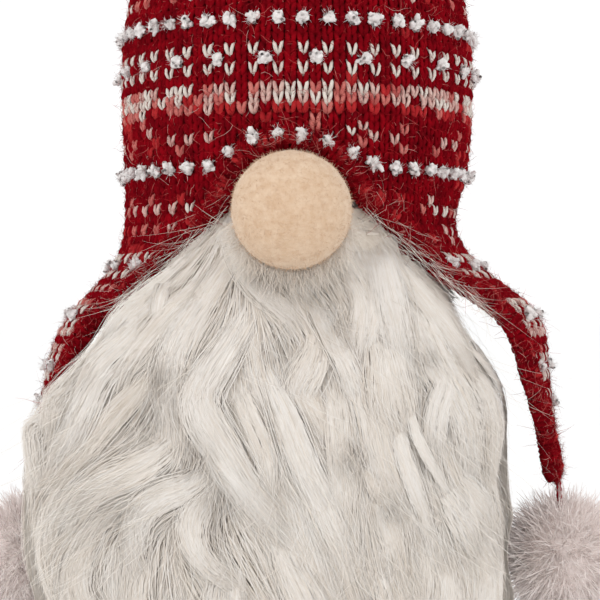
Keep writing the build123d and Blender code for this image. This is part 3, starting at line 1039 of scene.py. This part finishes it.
# The large locks, from root to end: half width, shade, how far they stand proud, then places across and up.
# The shade is a lock's painted light and shade: the bright and light ones get painted light, mostly where
# they stand proud, and the shade ones painted shade where they lie low.
GUIDES = [
    (3.0, "bright", 1.5, [(-22, 233), (-21, 224), (-17, 216), (-11, 208), (-5, 203), (1, 196)]),
    (2.5, "light", 1.0, [(-31, 222), (-38, 216), (-41, 208), (-42, 199), (-40, 190)]),
    (5.0, "light", 1.5, [(-21, 213), (-25, 204), (-30, 196), (-34, 187), (-36, 177), (-36, 165)]),
    (5.5, "bright", 3.0, [(-14, 206), (-19, 196), (-24, 187), (-29, 178), (-27, 171), (-22, 163),
                          (-17, 154), (-12, 146), (-6, 139), (-1, 131)]),
    (1.4, "bright", 3.5, [(-34, 175), (-29, 169), (-26, 162), (-22, 155), (-17, 149), (-11, 143), (-5, 136)]),
    (3.0, "mid", 1.0, [(-20, 183), (-16, 176), (-12, 168), (-9, 160), (-8, 151), (-9, 141)]),
    (5.0, "bright", 2.5, [(-12, 189), (-8, 180), (-4, 172), (-1, 164),
                          (2, 156), (6, 148), (9, 140), (12, 131)]),
    (4.5, "bright", 2.0, [(-50, 192), (-57, 184), (-61, 175), (-65, 167), (-72, 159), (-80, 151)]),
    (4.0, "mid", 1.0, [(-58, 200), (-65, 190), (-70, 180), (-74, 170), (-80, 161)]),
    (4.0, "shade", 0.5, [(-42, 185), (-49, 175), (-56, 167), (-63, 159), (-72, 151), (-80, 143)]),
    (4.5, "mid", 1.5, [(-33, 167), (-38, 160), (-45, 155), (-54, 151), (-62, 146), (-69, 138)]),
    (5.0, "light", 2.0, [(-25, 158), (-33, 151), (-42, 147), (-48, 141), (-50, 133), (-48, 123)]),
    (3.5, "light", 2.0, [(-24, 152), (-30, 146), (-32, 139), (-30, 132), (-25, 126), (-17, 121)]),
    (5.0, "bright", 2.0, [(23, 231), (25, 222), (27, 212), (29, 200), (31, 190), (31, 179)]),
    (3.0, "shade", 0.5, [(26, 231), (34, 222), (40, 213), (46, 204), (51, 196)]),
    (2.5, "bright", 2.0, [(46, 188), (44, 180), (41, 173), (40, 164), (42, 155)]),
    (1.8, "bright", 2.5, [(33, 177), (34, 168), (36, 160), (40, 153), (44, 147), (48, 139)]),
    (2.8, "bright", 2.5, [(28, 177), (30, 165), (32, 157), (35, 149), (38, 141), (40, 131)]),
    (3.0, "bright", 2.0, [(-1, 211), (4, 205), (7, 198), (10, 192), (14, 184), (16, 176), (19, 168)]),
    (2.5, "light", 1.5, [(12, 215), (17, 209), (19, 203), (18, 196), (17, 188)]),
    (2.5, "light", 1.5, [(20, 212), (23, 205), (22, 198), (20, 190)]),
    (4.0, "mid", 1.0, [(9, 184), (11, 172), (12, 160), (13, 150), (12, 140), (9, 131)]),
    (3.0, "shade", 0.5, [(19, 163), (24, 153), (28, 145), (31, 137)]),
    (4.5, "light", 2.0, [(49, 153), (54, 146), (59, 138), (63, 129)]),
    (4.0, "mid", 1.0, [(52, 186), (57, 176), (60, 165), (61, 154), (62, 144)]),
    (4.0, "light", 1.0, [(-45, 205), (-50, 195), (-58, 187), (-64, 178), (-68, 170)]),
    (4.0, "shade", 0.5, [(1, 186), (3, 176), (7, 168), (10, 160)]),
    (4.0, "mid", 1.5, [(5, 196), (4, 188), (0, 180), (-2, 171)]),
    (4.0, "mid", 0.5, [(-26, 227), (-39, 216), (-53, 205), (-66, 195), (-76, 185), (-83, 172)]),
    (4.0, "light", 0.5, [(-34, 215), (-44, 206), (-54, 197), (-64, 187), (-72, 176), (-77, 164)]),
    (4.5, "mid", 0.5, [(-30, 211), (-38, 203), (-46, 194), (-53, 185), (-58, 176)]),
    (4.0, "light", 0.5, [(-70, 190), (-77, 180), (-81, 168), (-83, 154), (-82, 140)]),
    (4.0, "mid", 0.5, [(30, 219), (37, 210), (44, 201), (50, 191), (54, 181)]),
    (4.0, "light", 0.5, [(35, 205), (38, 196), (42, 186), (47, 176), (50, 165)]),
    (4.0, "mid", 0.5, [(14, 226), (16, 218), (20, 210), (24, 202), (26, 192)]),
    (4.0, "mid", 0.5, [(-18, 222), (-22, 214), (-27, 206), (-31, 198), (-34, 190)]),
    (6.0, "mid", 1.5, [(24, 196), (26, 186), (27, 176), (29, 166), (31, 157)]),
    (5.0, "mid", 1.0, [(16, 186), (20, 176), (23, 166), (25, 157), (29, 148), (33, 138), (35, 130)]),
    (5.0, "light", 1.5, [(44, 186), (48, 176), (52, 166), (54, 156), (55, 146)]),
    (5.0, "light", 1.5, [(46, 150), (50, 142), (54, 134), (58, 126)]),
    (4.5, "light", 1.0, [(0, 163), (3, 154), (6, 146), (9, 138), (12, 130), (14, 120)]),
    (4.5, "mid", 1.0, [(22, 150), (26, 141), (29, 132), (30, 122)]),
    (1.0, "light", 1.0, [(50, 196), (56, 188), (61, 181), (65, 174), (68, 166), (71, 158)]),
    (0.8, "mid", 1.0, [(52, 186), (57, 178), (62, 170), (66, 162), (70, 154), (73, 147)]),
    (5.5, "light", 1.5, [(-4, 140), (-2, 130), (3, 120), (7, 110), (8, 100), (6, 90), (5, 80)]),
    (5.5, "mid", 1.5, [(22, 128), (26, 118), (27, 108), (24, 98), (20, 88), (17, 78)]),
    (5.5, "light", 1.5, [(-20, 128), (-22, 118), (-20, 108), (-15, 98), (-12, 88), (-10, 78)]),
    (5.0, "mid", 1.5, [(-44, 130), (-46, 120), (-44, 110), (-38, 100), (-32, 90), (-28, 80)]),
    (5.0, "light", 1.5, [(44, 130), (46, 120), (44, 110), (38, 100), (32, 90), (27, 80)]),
    (5.0, "mid", 1.0, [(-62, 135), (-66, 126), (-66, 116), (-60, 106), (-52, 96)]),
    (4.5, "light", 1.0, [(58, 126), (60, 116), (57, 106), (50, 96), (43, 86)]),
    (5.0, "mid", 1.2, [(-8, 110), (-6, 100), (-2, 90), (0, 80), (1, 70), (1, 60)]),
    (4.5, "light", 1.0, [(12, 104), (14, 94), (12, 84), (9, 74), (7, 64)]),
    (4.5, "mid", 1.0, [(-26, 104), (-22, 94), (-17, 84), (-13, 74), (-10, 64)]),
]
# Hollows between the locks: across, up and radius.
HOLLOWS = [(-39, 179, 5), (-44, 167, 6), (-28, 158, 5), (-22, 145, 5.5), (-52, 138, 6), (16, 157, 4.5),
           (27, 142, 5), (38, 186, 5), (-4, 189, 4.5), (7, 206, 4), (12, 196, 4), (-9, 213, 4), (22, 223, 5)]


def table(rows):
    rows = np.array(rows, float)
    return lambda z: np.interp(z, rows[:, 0], rows[:, 1])


half_left, half_right = table(EDGE_LEFT), table(EDGE_RIGHT)


def beard_half(x, z):
    """Half width of the beard at a height, on the side where x lies."""
    return np.where(x < 0, half_left(z), half_right(z))


def hem_height(x):
    """Height of the hat's edge over the beard, on past the arch to the flaps."""
    past = arch_height(ARCH_END_X) - 1.1 * (np.abs(x) - ARCH_END_X)
    return np.where(np.abs(x) < ARCH_END_X, arch_height(x), past)


def beard_point(x, z, depth):
    """A point in the fur: across and up as seen from the front, and a depth from 0 at the body to 1."""
    half = beard_half(x, z)
    over = np.maximum(np.abs(x) - half, 0)
    x = np.where(over > 0, np.sign(x) * (half + OVERHANG * (1 - np.exp(-over / OVERHANG))), x)
    share = np.clip(x / half, -1, 1)
    edge = np.where(x < 0, *EDGE_Y) + share**4 * (2.5 * np.sin(z / 14 + np.sign(x)) + np.sin(z / 6))
    front = np.maximum(pile_radius(z), edge)
    y = -(edge + (front - edge) * np.sqrt(1 - share**2))
    sunk = 0
    for hx, hz, size in HOLLOWS:
        sunk = sunk + HOLLOW_DEPTH * np.exp(-(((x - hx) ** 2 + (z - hz) ** 2) / size**2))
    y = y + sunk
    turn = share * SIDE_TURN * np.minimum(half / 64, 1) ** 0.8
    inner = body_radius(z) + 2
    groove = 1.8 * share**4 * np.sin(9 * depth + z / 16)
    shown = np.stack([x + np.sign(x) * groove, y, z], axis=-1)
    root = np.stack([inner * np.sin(turn), -inner * np.cos(turn), z], axis=-1)
    return root + (shown - root) * depth[..., None]


guide_lines = [smooth_line(places, 6) for *_, places in GUIDES]
guide_spots = np.vstack([line[:-1] for line in guide_lines])
guide_steps = np.vstack([np.diff(line, axis=0) for line in guide_lines])
guide_slants = guide_steps[:, 0] / np.maximum(-guide_steps[:, 1], 0.35)


def fall_of_hair(x, z):
    """Sideways run of the hair for each millimetre of fall: that of the nearest large locks."""
    away = (x[..., None] - guide_spots[:, 0]) ** 2 + (z[..., None] - guide_spots[:, 1]) ** 2
    weight = np.exp(-away / (2 * 6.0**2))
    below = np.maximum(hem_height(x) - z, 0)
    along_hem = np.sign(x) * 1.15 * np.exp(-below / 9) * ramp(np.abs(x), 8, 30)
    out = 0.55 * (x / 60) * ramp(z, 170, 222) + 0.30 * (x / 70) * ramp(z, 120, 190)
    close = -0.60 * (x / 60) * (1 - ramp(z, 45, 118))
    stir = 0.30 * lumps(np.stack([x, 0 * x, z * 0.6], axis=-1), 24, 31)
    free = along_hem + out + close + stir
    return (np.sum(weight * guide_slants, axis=-1) + 0.5 * free) / (weight.sum(axis=-1) + 0.5)


def follow(x, z, length, points):
    """Lines from roots x and z down the fall of the hair: x and z at each of their points."""
    step = length / (points - 1)
    xs, zs = [x], [z]
    for _ in range(points - 1):
        slant = fall_of_hair(xs[-1], zs[-1])
        fall = 1 / np.sqrt(1 + slant**2)
        xs.append(xs[-1] + slant * fall * step)
        zs.append(zs[-1] - fall * step)
    return np.stack(xs, axis=1), np.stack(zs, axis=1)


# The nose, and the pompoms where they swing in against the beard: middle and radius.
CLEAR_OF = [
    (NOSE, NOSE_R + 0.3),
    (POMPOM_AT + np.array([-6.5, 0, 0]), 19.5),
    (POMPOM_AT * np.array([-1, 1, 1]) + np.array([6.5, 0, 0]), 19.5),
]


def kept_clear(points):
    """Points pushed out of the nose and of the pompoms."""
    for middle, radius in CLEAR_OF:
        away = points - middle
        distance = np.maximum(np.linalg.norm(away, axis=-1, keepdims=True), 1e-6)
        points = np.where(distance < radius, middle + away / distance * radius, points)
    return points


def lock_roots(count):
    """Roots over the backing, under the hem and down to the beard's end."""
    found = np.zeros((0, 2))
    while len(found) < count:
        x = rng.uniform(-80, 62, 400)
        z = rng.uniform(66, 236, 400)
        fits = (np.abs(x) < 0.92 * beard_half(x, z)) & (z < hem_height(x) + 1)
        fits &= rng.random(400) < 0.55 + 0.45 * ramp(z, 90, 190)
        found = np.vstack([found, np.stack([x, z], axis=1)[fits]])
    return found[:count]


def fur_outs(paths):
    """Which way hairs face: outwards, with more of a turn to the front at the beard's sides."""
    return unit(paths * np.array([0.7, 1, 0])) + np.array([0, -0.35, 0.25])


def brush(x, z, depth, half_width, tones, hairs, wander=0.35, start=0.3):
    """Hairs of a set of locks whose middles run through x, z and depth: (locks, points) each."""
    locks, points = x.shape
    t = np.linspace(0, 1, points)
    shape = (locks, hairs, 1)
    across, proud = rng.normal(0, 0.5, shape), rng.normal(0, 0.5, shape)
    begin = rng.uniform(0, start, shape)
    end = rng.uniform(0.82, 1.0, shape)
    at = (begin + (end - begin) * t) * (points - 1)
    low = np.minimum(at.astype(int), points - 2)
    part = at - low
    row = np.arange(locks)[:, None, None]

    def along(values):
        return values[row, low] * (1 - part) + values[row, low + 1] * part

    slope_x, slope_z = np.gradient(x, axis=1), np.gradient(z, axis=1)
    size = np.maximum(np.sqrt(slope_x**2 + slope_z**2), 1e-6)
    side_x, side_z = -slope_z / size, slope_x / size
    bulge = np.sin(np.pi * np.clip(at / (points - 1), 0, 1)) ** 0.8
    taper = (0.30 + 0.70 * bulge) * half_width[:, None, None]
    stray = np.where(rng.random(shape) < 0.18, 2.6, 1.0)
    waves = rng.uniform(0.6, 1.4, shape) * np.pi * t * 2 + rng.uniform(0, 2 * np.pi, shape)
    loose = wander * stray * half_width[:, None, None] * (t**1.5)
    frizz = rng.uniform(0.1, 0.45, shape)
    frizz = frizz * np.sin(rng.uniform(2, 4, shape) * np.pi * t + rng.uniform(0, 2 * np.pi, shape))
    shift = across * taper + loose * np.sin(waves) + frizz
    hx = along(x) + shift * along(side_x)
    hz = along(z) + shift * along(side_z)
    crown = 0.17 * taper * (1 - np.minimum(across**2, 1.2))  # a lock is rounded: its middle stands highest
    lift = (crown + proud * 0.05 * taper + 0.22 * loose * np.cos(waves)) / PILE
    hd = along(depth) + lift
    paths = kept_clear(beard_point(hx, hz, np.clip(hd, 0.08, 1.22)).reshape(-1, points, 3))
    round_off = np.clip(across * 0.6, -0.9, 0.9) + 0 * t
    outs = fur_outs(paths)
    lateral = np.stack([along(side_x), 0 * hx, along(side_z)], axis=-1).reshape(paths.shape)
    outs = outs + round_off.reshape(-1, points, 1) * lateral + rng.normal(0, 0.05, (len(paths), 1, 3))
    width = (0.13 + 0.12 * rng.random((len(paths), 1)) ** 2) * (1 - 0.75 * t**3)
    return paths, outs, width, tones.ravel()


def finish_hairs(name, paths, outs, width, tones, most=7000):
    """Hair pieces, none of them too heavy. Hair that would reach the ground is gathered in above it."""
    low = np.minimum(paths[..., 2] - END_Z, 0)
    paths[..., 2] = np.where(low < 0, END_Z * np.exp(low / END_Z), paths[..., 2])
    points = paths.shape[1]
    made = []
    for k, begin in enumerate(range(0, len(paths), most)):
        cut = slice(begin, begin + most)
        corners, faces = ribbons(paths[cut], outs[cut], width[cut])
        piece = make_mesh(f"{name}_{k + 1}", corners, faces, BEARD_TONES, np.repeat(tones[cut], points - 1))
        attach(piece, "gnome")
        made.append(piece)
    return made


def make_locks():
    """The locks that cover the beard and follow the fall of the hair."""
    roots = lock_roots(BEARD_LOCKS)
    length = rng.uniform(72, 112, BEARD_LOCKS) * (0.72 + 0.28 * ramp(roots[:, 1], 80, 150))
    x, z = follow(roots[:, 0], roots[:, 1], length, HAIR_POINTS)
    run = np.linspace(0, 1, HAIR_POINTS) * length[:, None]
    wave = rng.uniform(45, 75, (BEARD_LOCKS, 1))
    phase = rng.uniform(0, 2 * np.pi, (BEARD_LOCKS, 1))
    swing = rng.uniform(0.6, 2.4, (BEARD_LOCKS, 1)) * ramp(run, 0, 40)
    x = x + swing * np.sin(2 * np.pi * run / wave + phase)
    depth = ramp(run, -8, 36) * rng.uniform(0.84, 0.93, (BEARD_LOCKS, 1))
    depth = np.minimum(depth, 0.10 + 0.95 * ramp(hem_height(x) - z, -1, 13))
    half = rng.uniform(4.0, 7.0, BEARD_LOCKS)
    kinds = rng.choice(["shade", "mid", "light", "bright"], BEARD_LOCKS, p=[0.15, 0.4, 0.3, 0.15])
    tones = np.array([rng.choice(3, LOCK_HAIRS, p=TONE_SHARES[kind]) for kind in kinds])
    made = finish_hairs("beard_locks", *brush(x, z, depth, half, tones, LOCK_HAIRS))
    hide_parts("beard_pile")


def make_large_locks():
    """The large locks: the wider a lock is, the more close copies of its line it has."""
    xs, zs, depths, halves, all_tones = [], [], [], [], []
    t = np.linspace(0, 1, HAIR_POINTS)
    for (half_width, shade, proud, places), line in zip(GUIDES, guide_lines):
        distance = along_line(line)
        even = np.linspace(0, distance[-1], HAIR_POINTS)
        gx, gz = np.interp(even, distance, line[:, 0]), np.interp(even, distance, line[:, 1])
        stand = 0.84 + 0.10 * ramp(t, 0, 0.3) + (proud + 0.8) / 30 * np.sin(np.pi * np.clip(t * 1.1, 0, 1))
        stand = np.minimum(stand, 0.16 + 1.0 * ramp(hem_height(gx) - gz, -1, 12))
        for _ in range(max(1, round(half_width / 1.3))):
            xs.append(gx + rng.normal(0, 0.35 * half_width))
            zs.append(gz + rng.normal(0, 1.5))
            depths.append(stand)
            halves.append(half_width * 0.9)
            # The lock's tones follow its kind, which paints light and shade on it.
            all_tones.append(rng.choice(3, LOCK_HAIRS, p=TONE_SHARES[shade]))
    locks = [np.array(values) for values in (xs, zs, depths, halves, all_tones)]
    finish_hairs("beard_large_locks", *brush(*locks, LOCK_HAIRS, 0.2))


def make_coat():
    """An even layer of hair just under the locks, and hair over the beard's two sides."""
    x, z = rng.uniform(-88, 70, COAT_HAIRS), rng.uniform(40, 232, COAT_HAIRS)
    half = beard_half(x, z)
    kept = (np.abs(x) < half) & (z < hem_height(x) + 2)
    x, z, half = x[kept], z[kept], half[kept]
    count = len(x)
    rim = np.abs(x) / half > 0.86
    deep = np.where(rim, rng.uniform(0.2, 1.0, count), rng.uniform(0.80, 0.86, count))
    x, z = follow(x, z, rng.uniform(22, 40, count), COAT_POINTS)
    t = np.linspace(0, 1, COAT_POINTS)
    sway = rng.uniform(0.2, 1.0, (count, 1))
    sway = sway * np.sin(rng.uniform(1, 3, (count, 1)) * np.pi * t + rng.uniform(0, 6, (count, 1)))
    depth = deep[:, None] + 0.08 * ramp(t, 0, 0.6)
    depth = np.minimum(depth, 0.10 + 0.85 * ramp(hem_height(x) - z, -1, 13))
    paths = kept_clear(beard_point(x + sway, z, depth))
    outs = fur_outs(paths) + np.where(rim, 0.45, 0.06)[:, None, None] * rng.normal(0, 1, (count, 1, 3))
    width = 0.30 * rng.uniform(0.7, 1.2, (count, 1)) * (1 - 0.6 * t**3)
    finish_hairs("beard_coat", paths, outs, width, rng.choice(3, count, p=[0.3, 0.5, 0.2]), 12000)


def make_edge_locks():
    """Locks that hang from the sides of the backing and close the beard in at the body."""
    count = EDGE_LOCKS
    side = np.where(np.arange(count) % 2 == 0, -1.0, 1.0)[:, None]
    z = rng.uniform(60, 205, count)
    length = rng.uniform(45, 80, count) * (0.6 + 0.4 * ramp(z, 70, 130))
    t = np.linspace(0, 1, HAIR_POINTS)
    drop = z[:, None] - length[:, None] * t
    drop = np.maximum(drop, END_Z + rng.uniform(0, 10, (count, 1)))
    reach = 0.93 + 0.07 * t + rng.normal(0, 0.02, (count, 1))
    x = side * beard_half(side, drop) * np.minimum(reach, 0.995)
    depth = 0.12 + ramp(t, 0, 0.7) * rng.uniform(0.1, 0.85, (count, 1))
    tones = rng.choice(3, (count, EDGE_LOCK_HAIRS), p=[0.35, 0.45, 0.2])
    made = brush(x, drop, depth, rng.uniform(4, 7, count), tones, EDGE_LOCK_HAIRS, 0.3)
    finish_hairs("beard_edge_locks", *made)


def make_backing():
    """The woven cloth that the fur is rooted in, sewn to the body."""
    columns, rows = 60, 90
    turn, z = np.meshgrid(
        np.linspace(-BACKING_TURN, BACKING_TURN, columns), np.linspace(*BACKING_Z, rows), indexing="ij"
    )
    narrow = 1 - 0.6 * (1 - ramp(z, BACKING_Z[0], 130)) ** 2
    angle = FRONT + turn * narrow
    layers = []
    for out in (1.9, 1.1):
        r = body_radius(z) + out
        layers.append(np.stack([r * np.cos(angle), r * np.sin(angle), z], axis=-1).reshape(-1, 3))
    face = grid_faces(columns, rows)
    rim = np.concatenate([
        np.arange(columns) * rows, (columns - 1) * rows + np.arange(1, rows),
        np.arange(columns - 2, -1, -1) * rows + rows - 1, np.arange(rows - 2, 0, -1),
    ])
    after = np.roll(rim, -1)
    layer = columns * rows
    wall = np.stack([after, rim, rim + layer, after + layer], axis=1)
    faces = np.vstack([face, face[:, ::-1] + layer, wall])
    # Coloured like the underfur, with its painted shade.
    piece = make_mesh("beard_backing_cloth", np.vstack(layers), faces, [UNDERFUR_PAINTED_SHADE])
    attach(piece, "gnome")
    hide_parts("beard_backing")


def make_underfur():
    """The dense short fur that the locks lie on."""
    columns, rows = 100, 120
    u, z = np.meshgrid(np.linspace(-0.90, 0.90, columns), np.linspace(60, 233, rows), indexing="ij")
    x = u * beard_half(u, z)
    edge = ramp(np.abs(u), 0.90, 0.60)
    depth = 0.12 + 0.50 * edge * ramp(z, 58, 90) * ramp(hem_height(x) - z, -2, 18)
    depth = depth + 0.05 * lumps(np.stack([x, 0 * x, z * 0.35], axis=-1), 7, 41) * edge
    points = kept_clear(beard_point(x, z, depth)).reshape(-1, 3)
    # Its darker tan is painted shade between the locks.
    piece = make_mesh("beard_underfur_painted_shade", points, grid_faces(columns, rows), [UNDERFUR_PAINTED_SHADE])
    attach(piece, "gnome")


def stray_hairs(name, root, way, length, outs, tones, width, curl, points=9):
    """Single hairs from given roots and directions."""
    count = len(root)
    t = np.linspace(0, 1, points)[None, :, None]
    bend = random_ways(count, 1)
    reach = length[:, None, None]
    paths = kept_clear(root[:, None] + way[:, None] * reach * t + bend * reach * curl * t * t)
    half = width * (1 - 0.8 * t[..., 0] ** 2) + 0 * paths[..., 0]
    normals = outs[:, None] + rng.normal(0, 0.3, paths[:, :1].shape) + 0 * paths
    finish_hairs(name, paths, normals, half, np.asarray(tones)[rng.integers(0, len(tones), count)])


def make_flyaways():
    """Fine loose hairs that cross the locks."""
    count = 2600
    x, z = rng.uniform(-78, 60, count), rng.uniform(50, 215, count)
    kept = (np.abs(x) < 0.95 * beard_half(x, z)) & (z < hem_height(x) - 6)
    x, z = x[kept], z[kept]
    slant = fall_of_hair(x, z) + rng.normal(0, 0.8, len(x))
    fall = 1 / np.sqrt(1 + slant**2)
    root = beard_point(x, z, rng.uniform(0.98, 1.06, len(x)))
    outs = unit(root * np.array([1, 1, 0]))
    way = unit(np.stack([slant * fall, 0 * x, -fall], axis=1) + 0.12 * outs)
    stray_hairs("beard_flyaways", root, way, rng.uniform(8, 30, len(x)), outs, [0, 1, 2], 0.10, 0.35)


def make_nose_fringe():
    """Short tangled hairs round the underside of the nose."""
    count = 1500
    angle = rng.uniform(math.radians(-170), math.radians(-10), count)
    deep = rng.uniform(2.0, 15.0, count)
    ring = np.stack([np.cos(angle), 0 * angle, np.sin(angle)], axis=1)
    root = NOSE + ring * (np.sqrt(np.maximum(NOSE_R**2 - deep**2, 9)) + 0.5)[:, None]
    root[:, 1] += deep
    way = unit(ring * 0.8 + np.array([0, -0.25, -0.6]) + rng.normal(0, 0.5, (count, 3)))
    outs = ring + np.array([0, -1.0, 0])
    # Mostly the darker tone: painted shade under the nose.
    stray_hairs("beard_nose_fringe", root, way, rng.uniform(3, 11, count), outs, [0, 0, 1], 0.13, 0.45)


def make_hem_hairs():
    """Hairs of the beard that lie over the folded hem, along it."""
    count = 260
    x = rng.choice([-1, 1], count) * rng.uniform(20, 56, count)
    z = hem_height(x) + rng.normal(-2.5, 3.0, count)
    root = wall_point(np.arctan2(-np.sqrt(np.maximum(on_wall(z) ** 2 - x**2, 1)), x), z, 1.6)
    outs = unit(root * np.array([1, 1, 0]))
    way = np.stack([np.sign(x) * 0.75, 0.30 + 0 * x, -0.68 + 0 * x], axis=1)
    way = unit(way + rng.normal(0, 0.16, (count, 3)))
    # Only the darker two tones: painted shade under the hem's edge.
    stray_hairs("beard_hem_hairs", root, way, rng.uniform(7, 24, count), outs, [0, 1], 0.09, 0.42)


# ---- Pompoms ----------------------------------------------------------------------------------------


def make_pompom(name, centre, radius, body_call, node):
    """A soft core with fur standing off it."""
    core = soft_ball(f"{name}_core", centre, radius * 0.74, POM_CORE, 0.05, 0.35, body_call, level=4)
    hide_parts(node)
    fur = ball_fur(
        f"{name}_fur", centre, radius * 0.62, 7500, radius * 0.50, body_call, POM_FUR, 0.32, sag=0.10
    )


def make_tie(name, low, high, body_call, node):
    """Two twisted plies of thread."""
    t = np.linspace(0, 1, 24)
    low, high = np.asarray(low, float), np.asarray(high, float)
    turn = 2 * np.pi * (t[None] * 3 + np.array([[0], [0.5]]))
    outs = np.stack([np.cos(turn), np.sin(turn), 0 * turn], axis=-1)
    paths = low + (high - low) * t[None, :, None] + 0.55 * outs
    points, faces = tubes(paths, outs, 0.6 + 0 * turn, 8, flat=1.0)
    piece = make_mesh(name, points, faces, [THREAD])
    body_call(piece)
    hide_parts(node)


make_body()
make_nose()
make_backing()
make_underfur()
make_coat()
make_edge_locks()
make_locks()
make_large_locks()
make_flyaways()
make_nose_fringe()
make_hem_hairs()
for side, label in ((1, "right"), (-1, "left")):
    centre = POMPOM_AT * np.array([side, 1, 1])
    make_pompom(f"flap_pompom_{label}", centre, POMPOM_R, rides(f"pompom_{label}"), f"flap_pompom_{label}")
    make_tie(f"pompom_tie_{label}_thread", (side * 86.5, -10, 134), (side * 85.4, -10, 147.5),
             rides(f"pompom_{label}"), f"pompom_tie_{label}")
make_pompom("tip_pompom", TIP_POMPOM_AT, TIP_POMPOM_R, rides("hat_top"), "tip_pompom")
make_tie("tip_pompom_tie_thread", (0, 0, 476), (0, 0, 492), rides("hat_top"), "tip_pompom_tie")

HIDDEN = {
    "base_disc": CARD,
    "pellet_bag": CLOTH_RED,
    "pellet_fill": PELLETS,
    "body_stuffing": FILLING,
    "body_gather_thread": THREAD,
    "nose_stuffing": FILLING,
    "nose_gather_thread": THREAD,
    "beard_seam_thread": FUR_DARK_AND_PAINTED_SHADE,
    "hat_stuffing": FILLING,
    "hat_seam_thread": THREAD,
    "hat_tip_stuffing": FILLING,
}
for node, material in HIDDEN.items():
    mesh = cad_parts[node].data
    mesh.materials.clear()
    mesh.materials.append(material)

# ---- Stage ------------------------------------------------------------------------------------------


def make_floor():
    bpy.ops.mesh.primitive_plane_add(size=60, location=(0, 0, -0.0002))
    floor = bpy.context.object
    floor.name = "floor"
    paint = bpy.data.materials.new("floor")
    paint.use_nodes = True
    paint.node_tree.nodes["Principled BSDF"].inputs["Base Color"].default_value = (0.95, 0.95, 0.95, 1)
    paint.node_tree.nodes["Principled BSDF"].inputs["Roughness"].default_value = 0.8
    floor.data.materials.append(paint)


def area_light(name, place, target, size, power):
    data = bpy.data.lights.new(name, "AREA")
    data.shape = "DISK"
    data.size = size
    data.energy = power
    light = bpy.data.objects.new(name, data)
    light.location = place
    way = np.array(target) - np.array(place)
    light.rotation_euler = Vector(way).to_track_quat("-Z", "Y").to_euler()
    bpy.context.scene.collection.objects.link(light)


def make_camera():
    data = bpy.data.cameras.new("camera")
    data.lens = 108
    data.sensor_width = 36
    camera = bpy.data.objects.new("camera", data)
    camera.location = (0.001, -0.600, 0.205)
    camera.rotation_euler = (math.radians(90), 0, 0)
    bpy.context.scene.collection.objects.link(camera)
    bpy.context.scene.camera = camera


make_floor()
make_camera()
area_light("key", (-0.7, -1.3, 1.2), (0, 0, 0.24), 1.5, 5.5)
area_light("fill", (1.2, -1.1, 0.5), (0, 0, 0.2), 1.4, 1.2)
world = bpy.data.worlds.new("studio")
world.use_nodes = True
world.node_tree.nodes["Background"].inputs["Color"].default_value = (1, 1, 1, 1)
world.node_tree.nodes["Background"].inputs["Strength"].default_value = 1.06
bpy.context.scene.world = world
bpy.context.scene.view_settings.view_transform = "Standard"
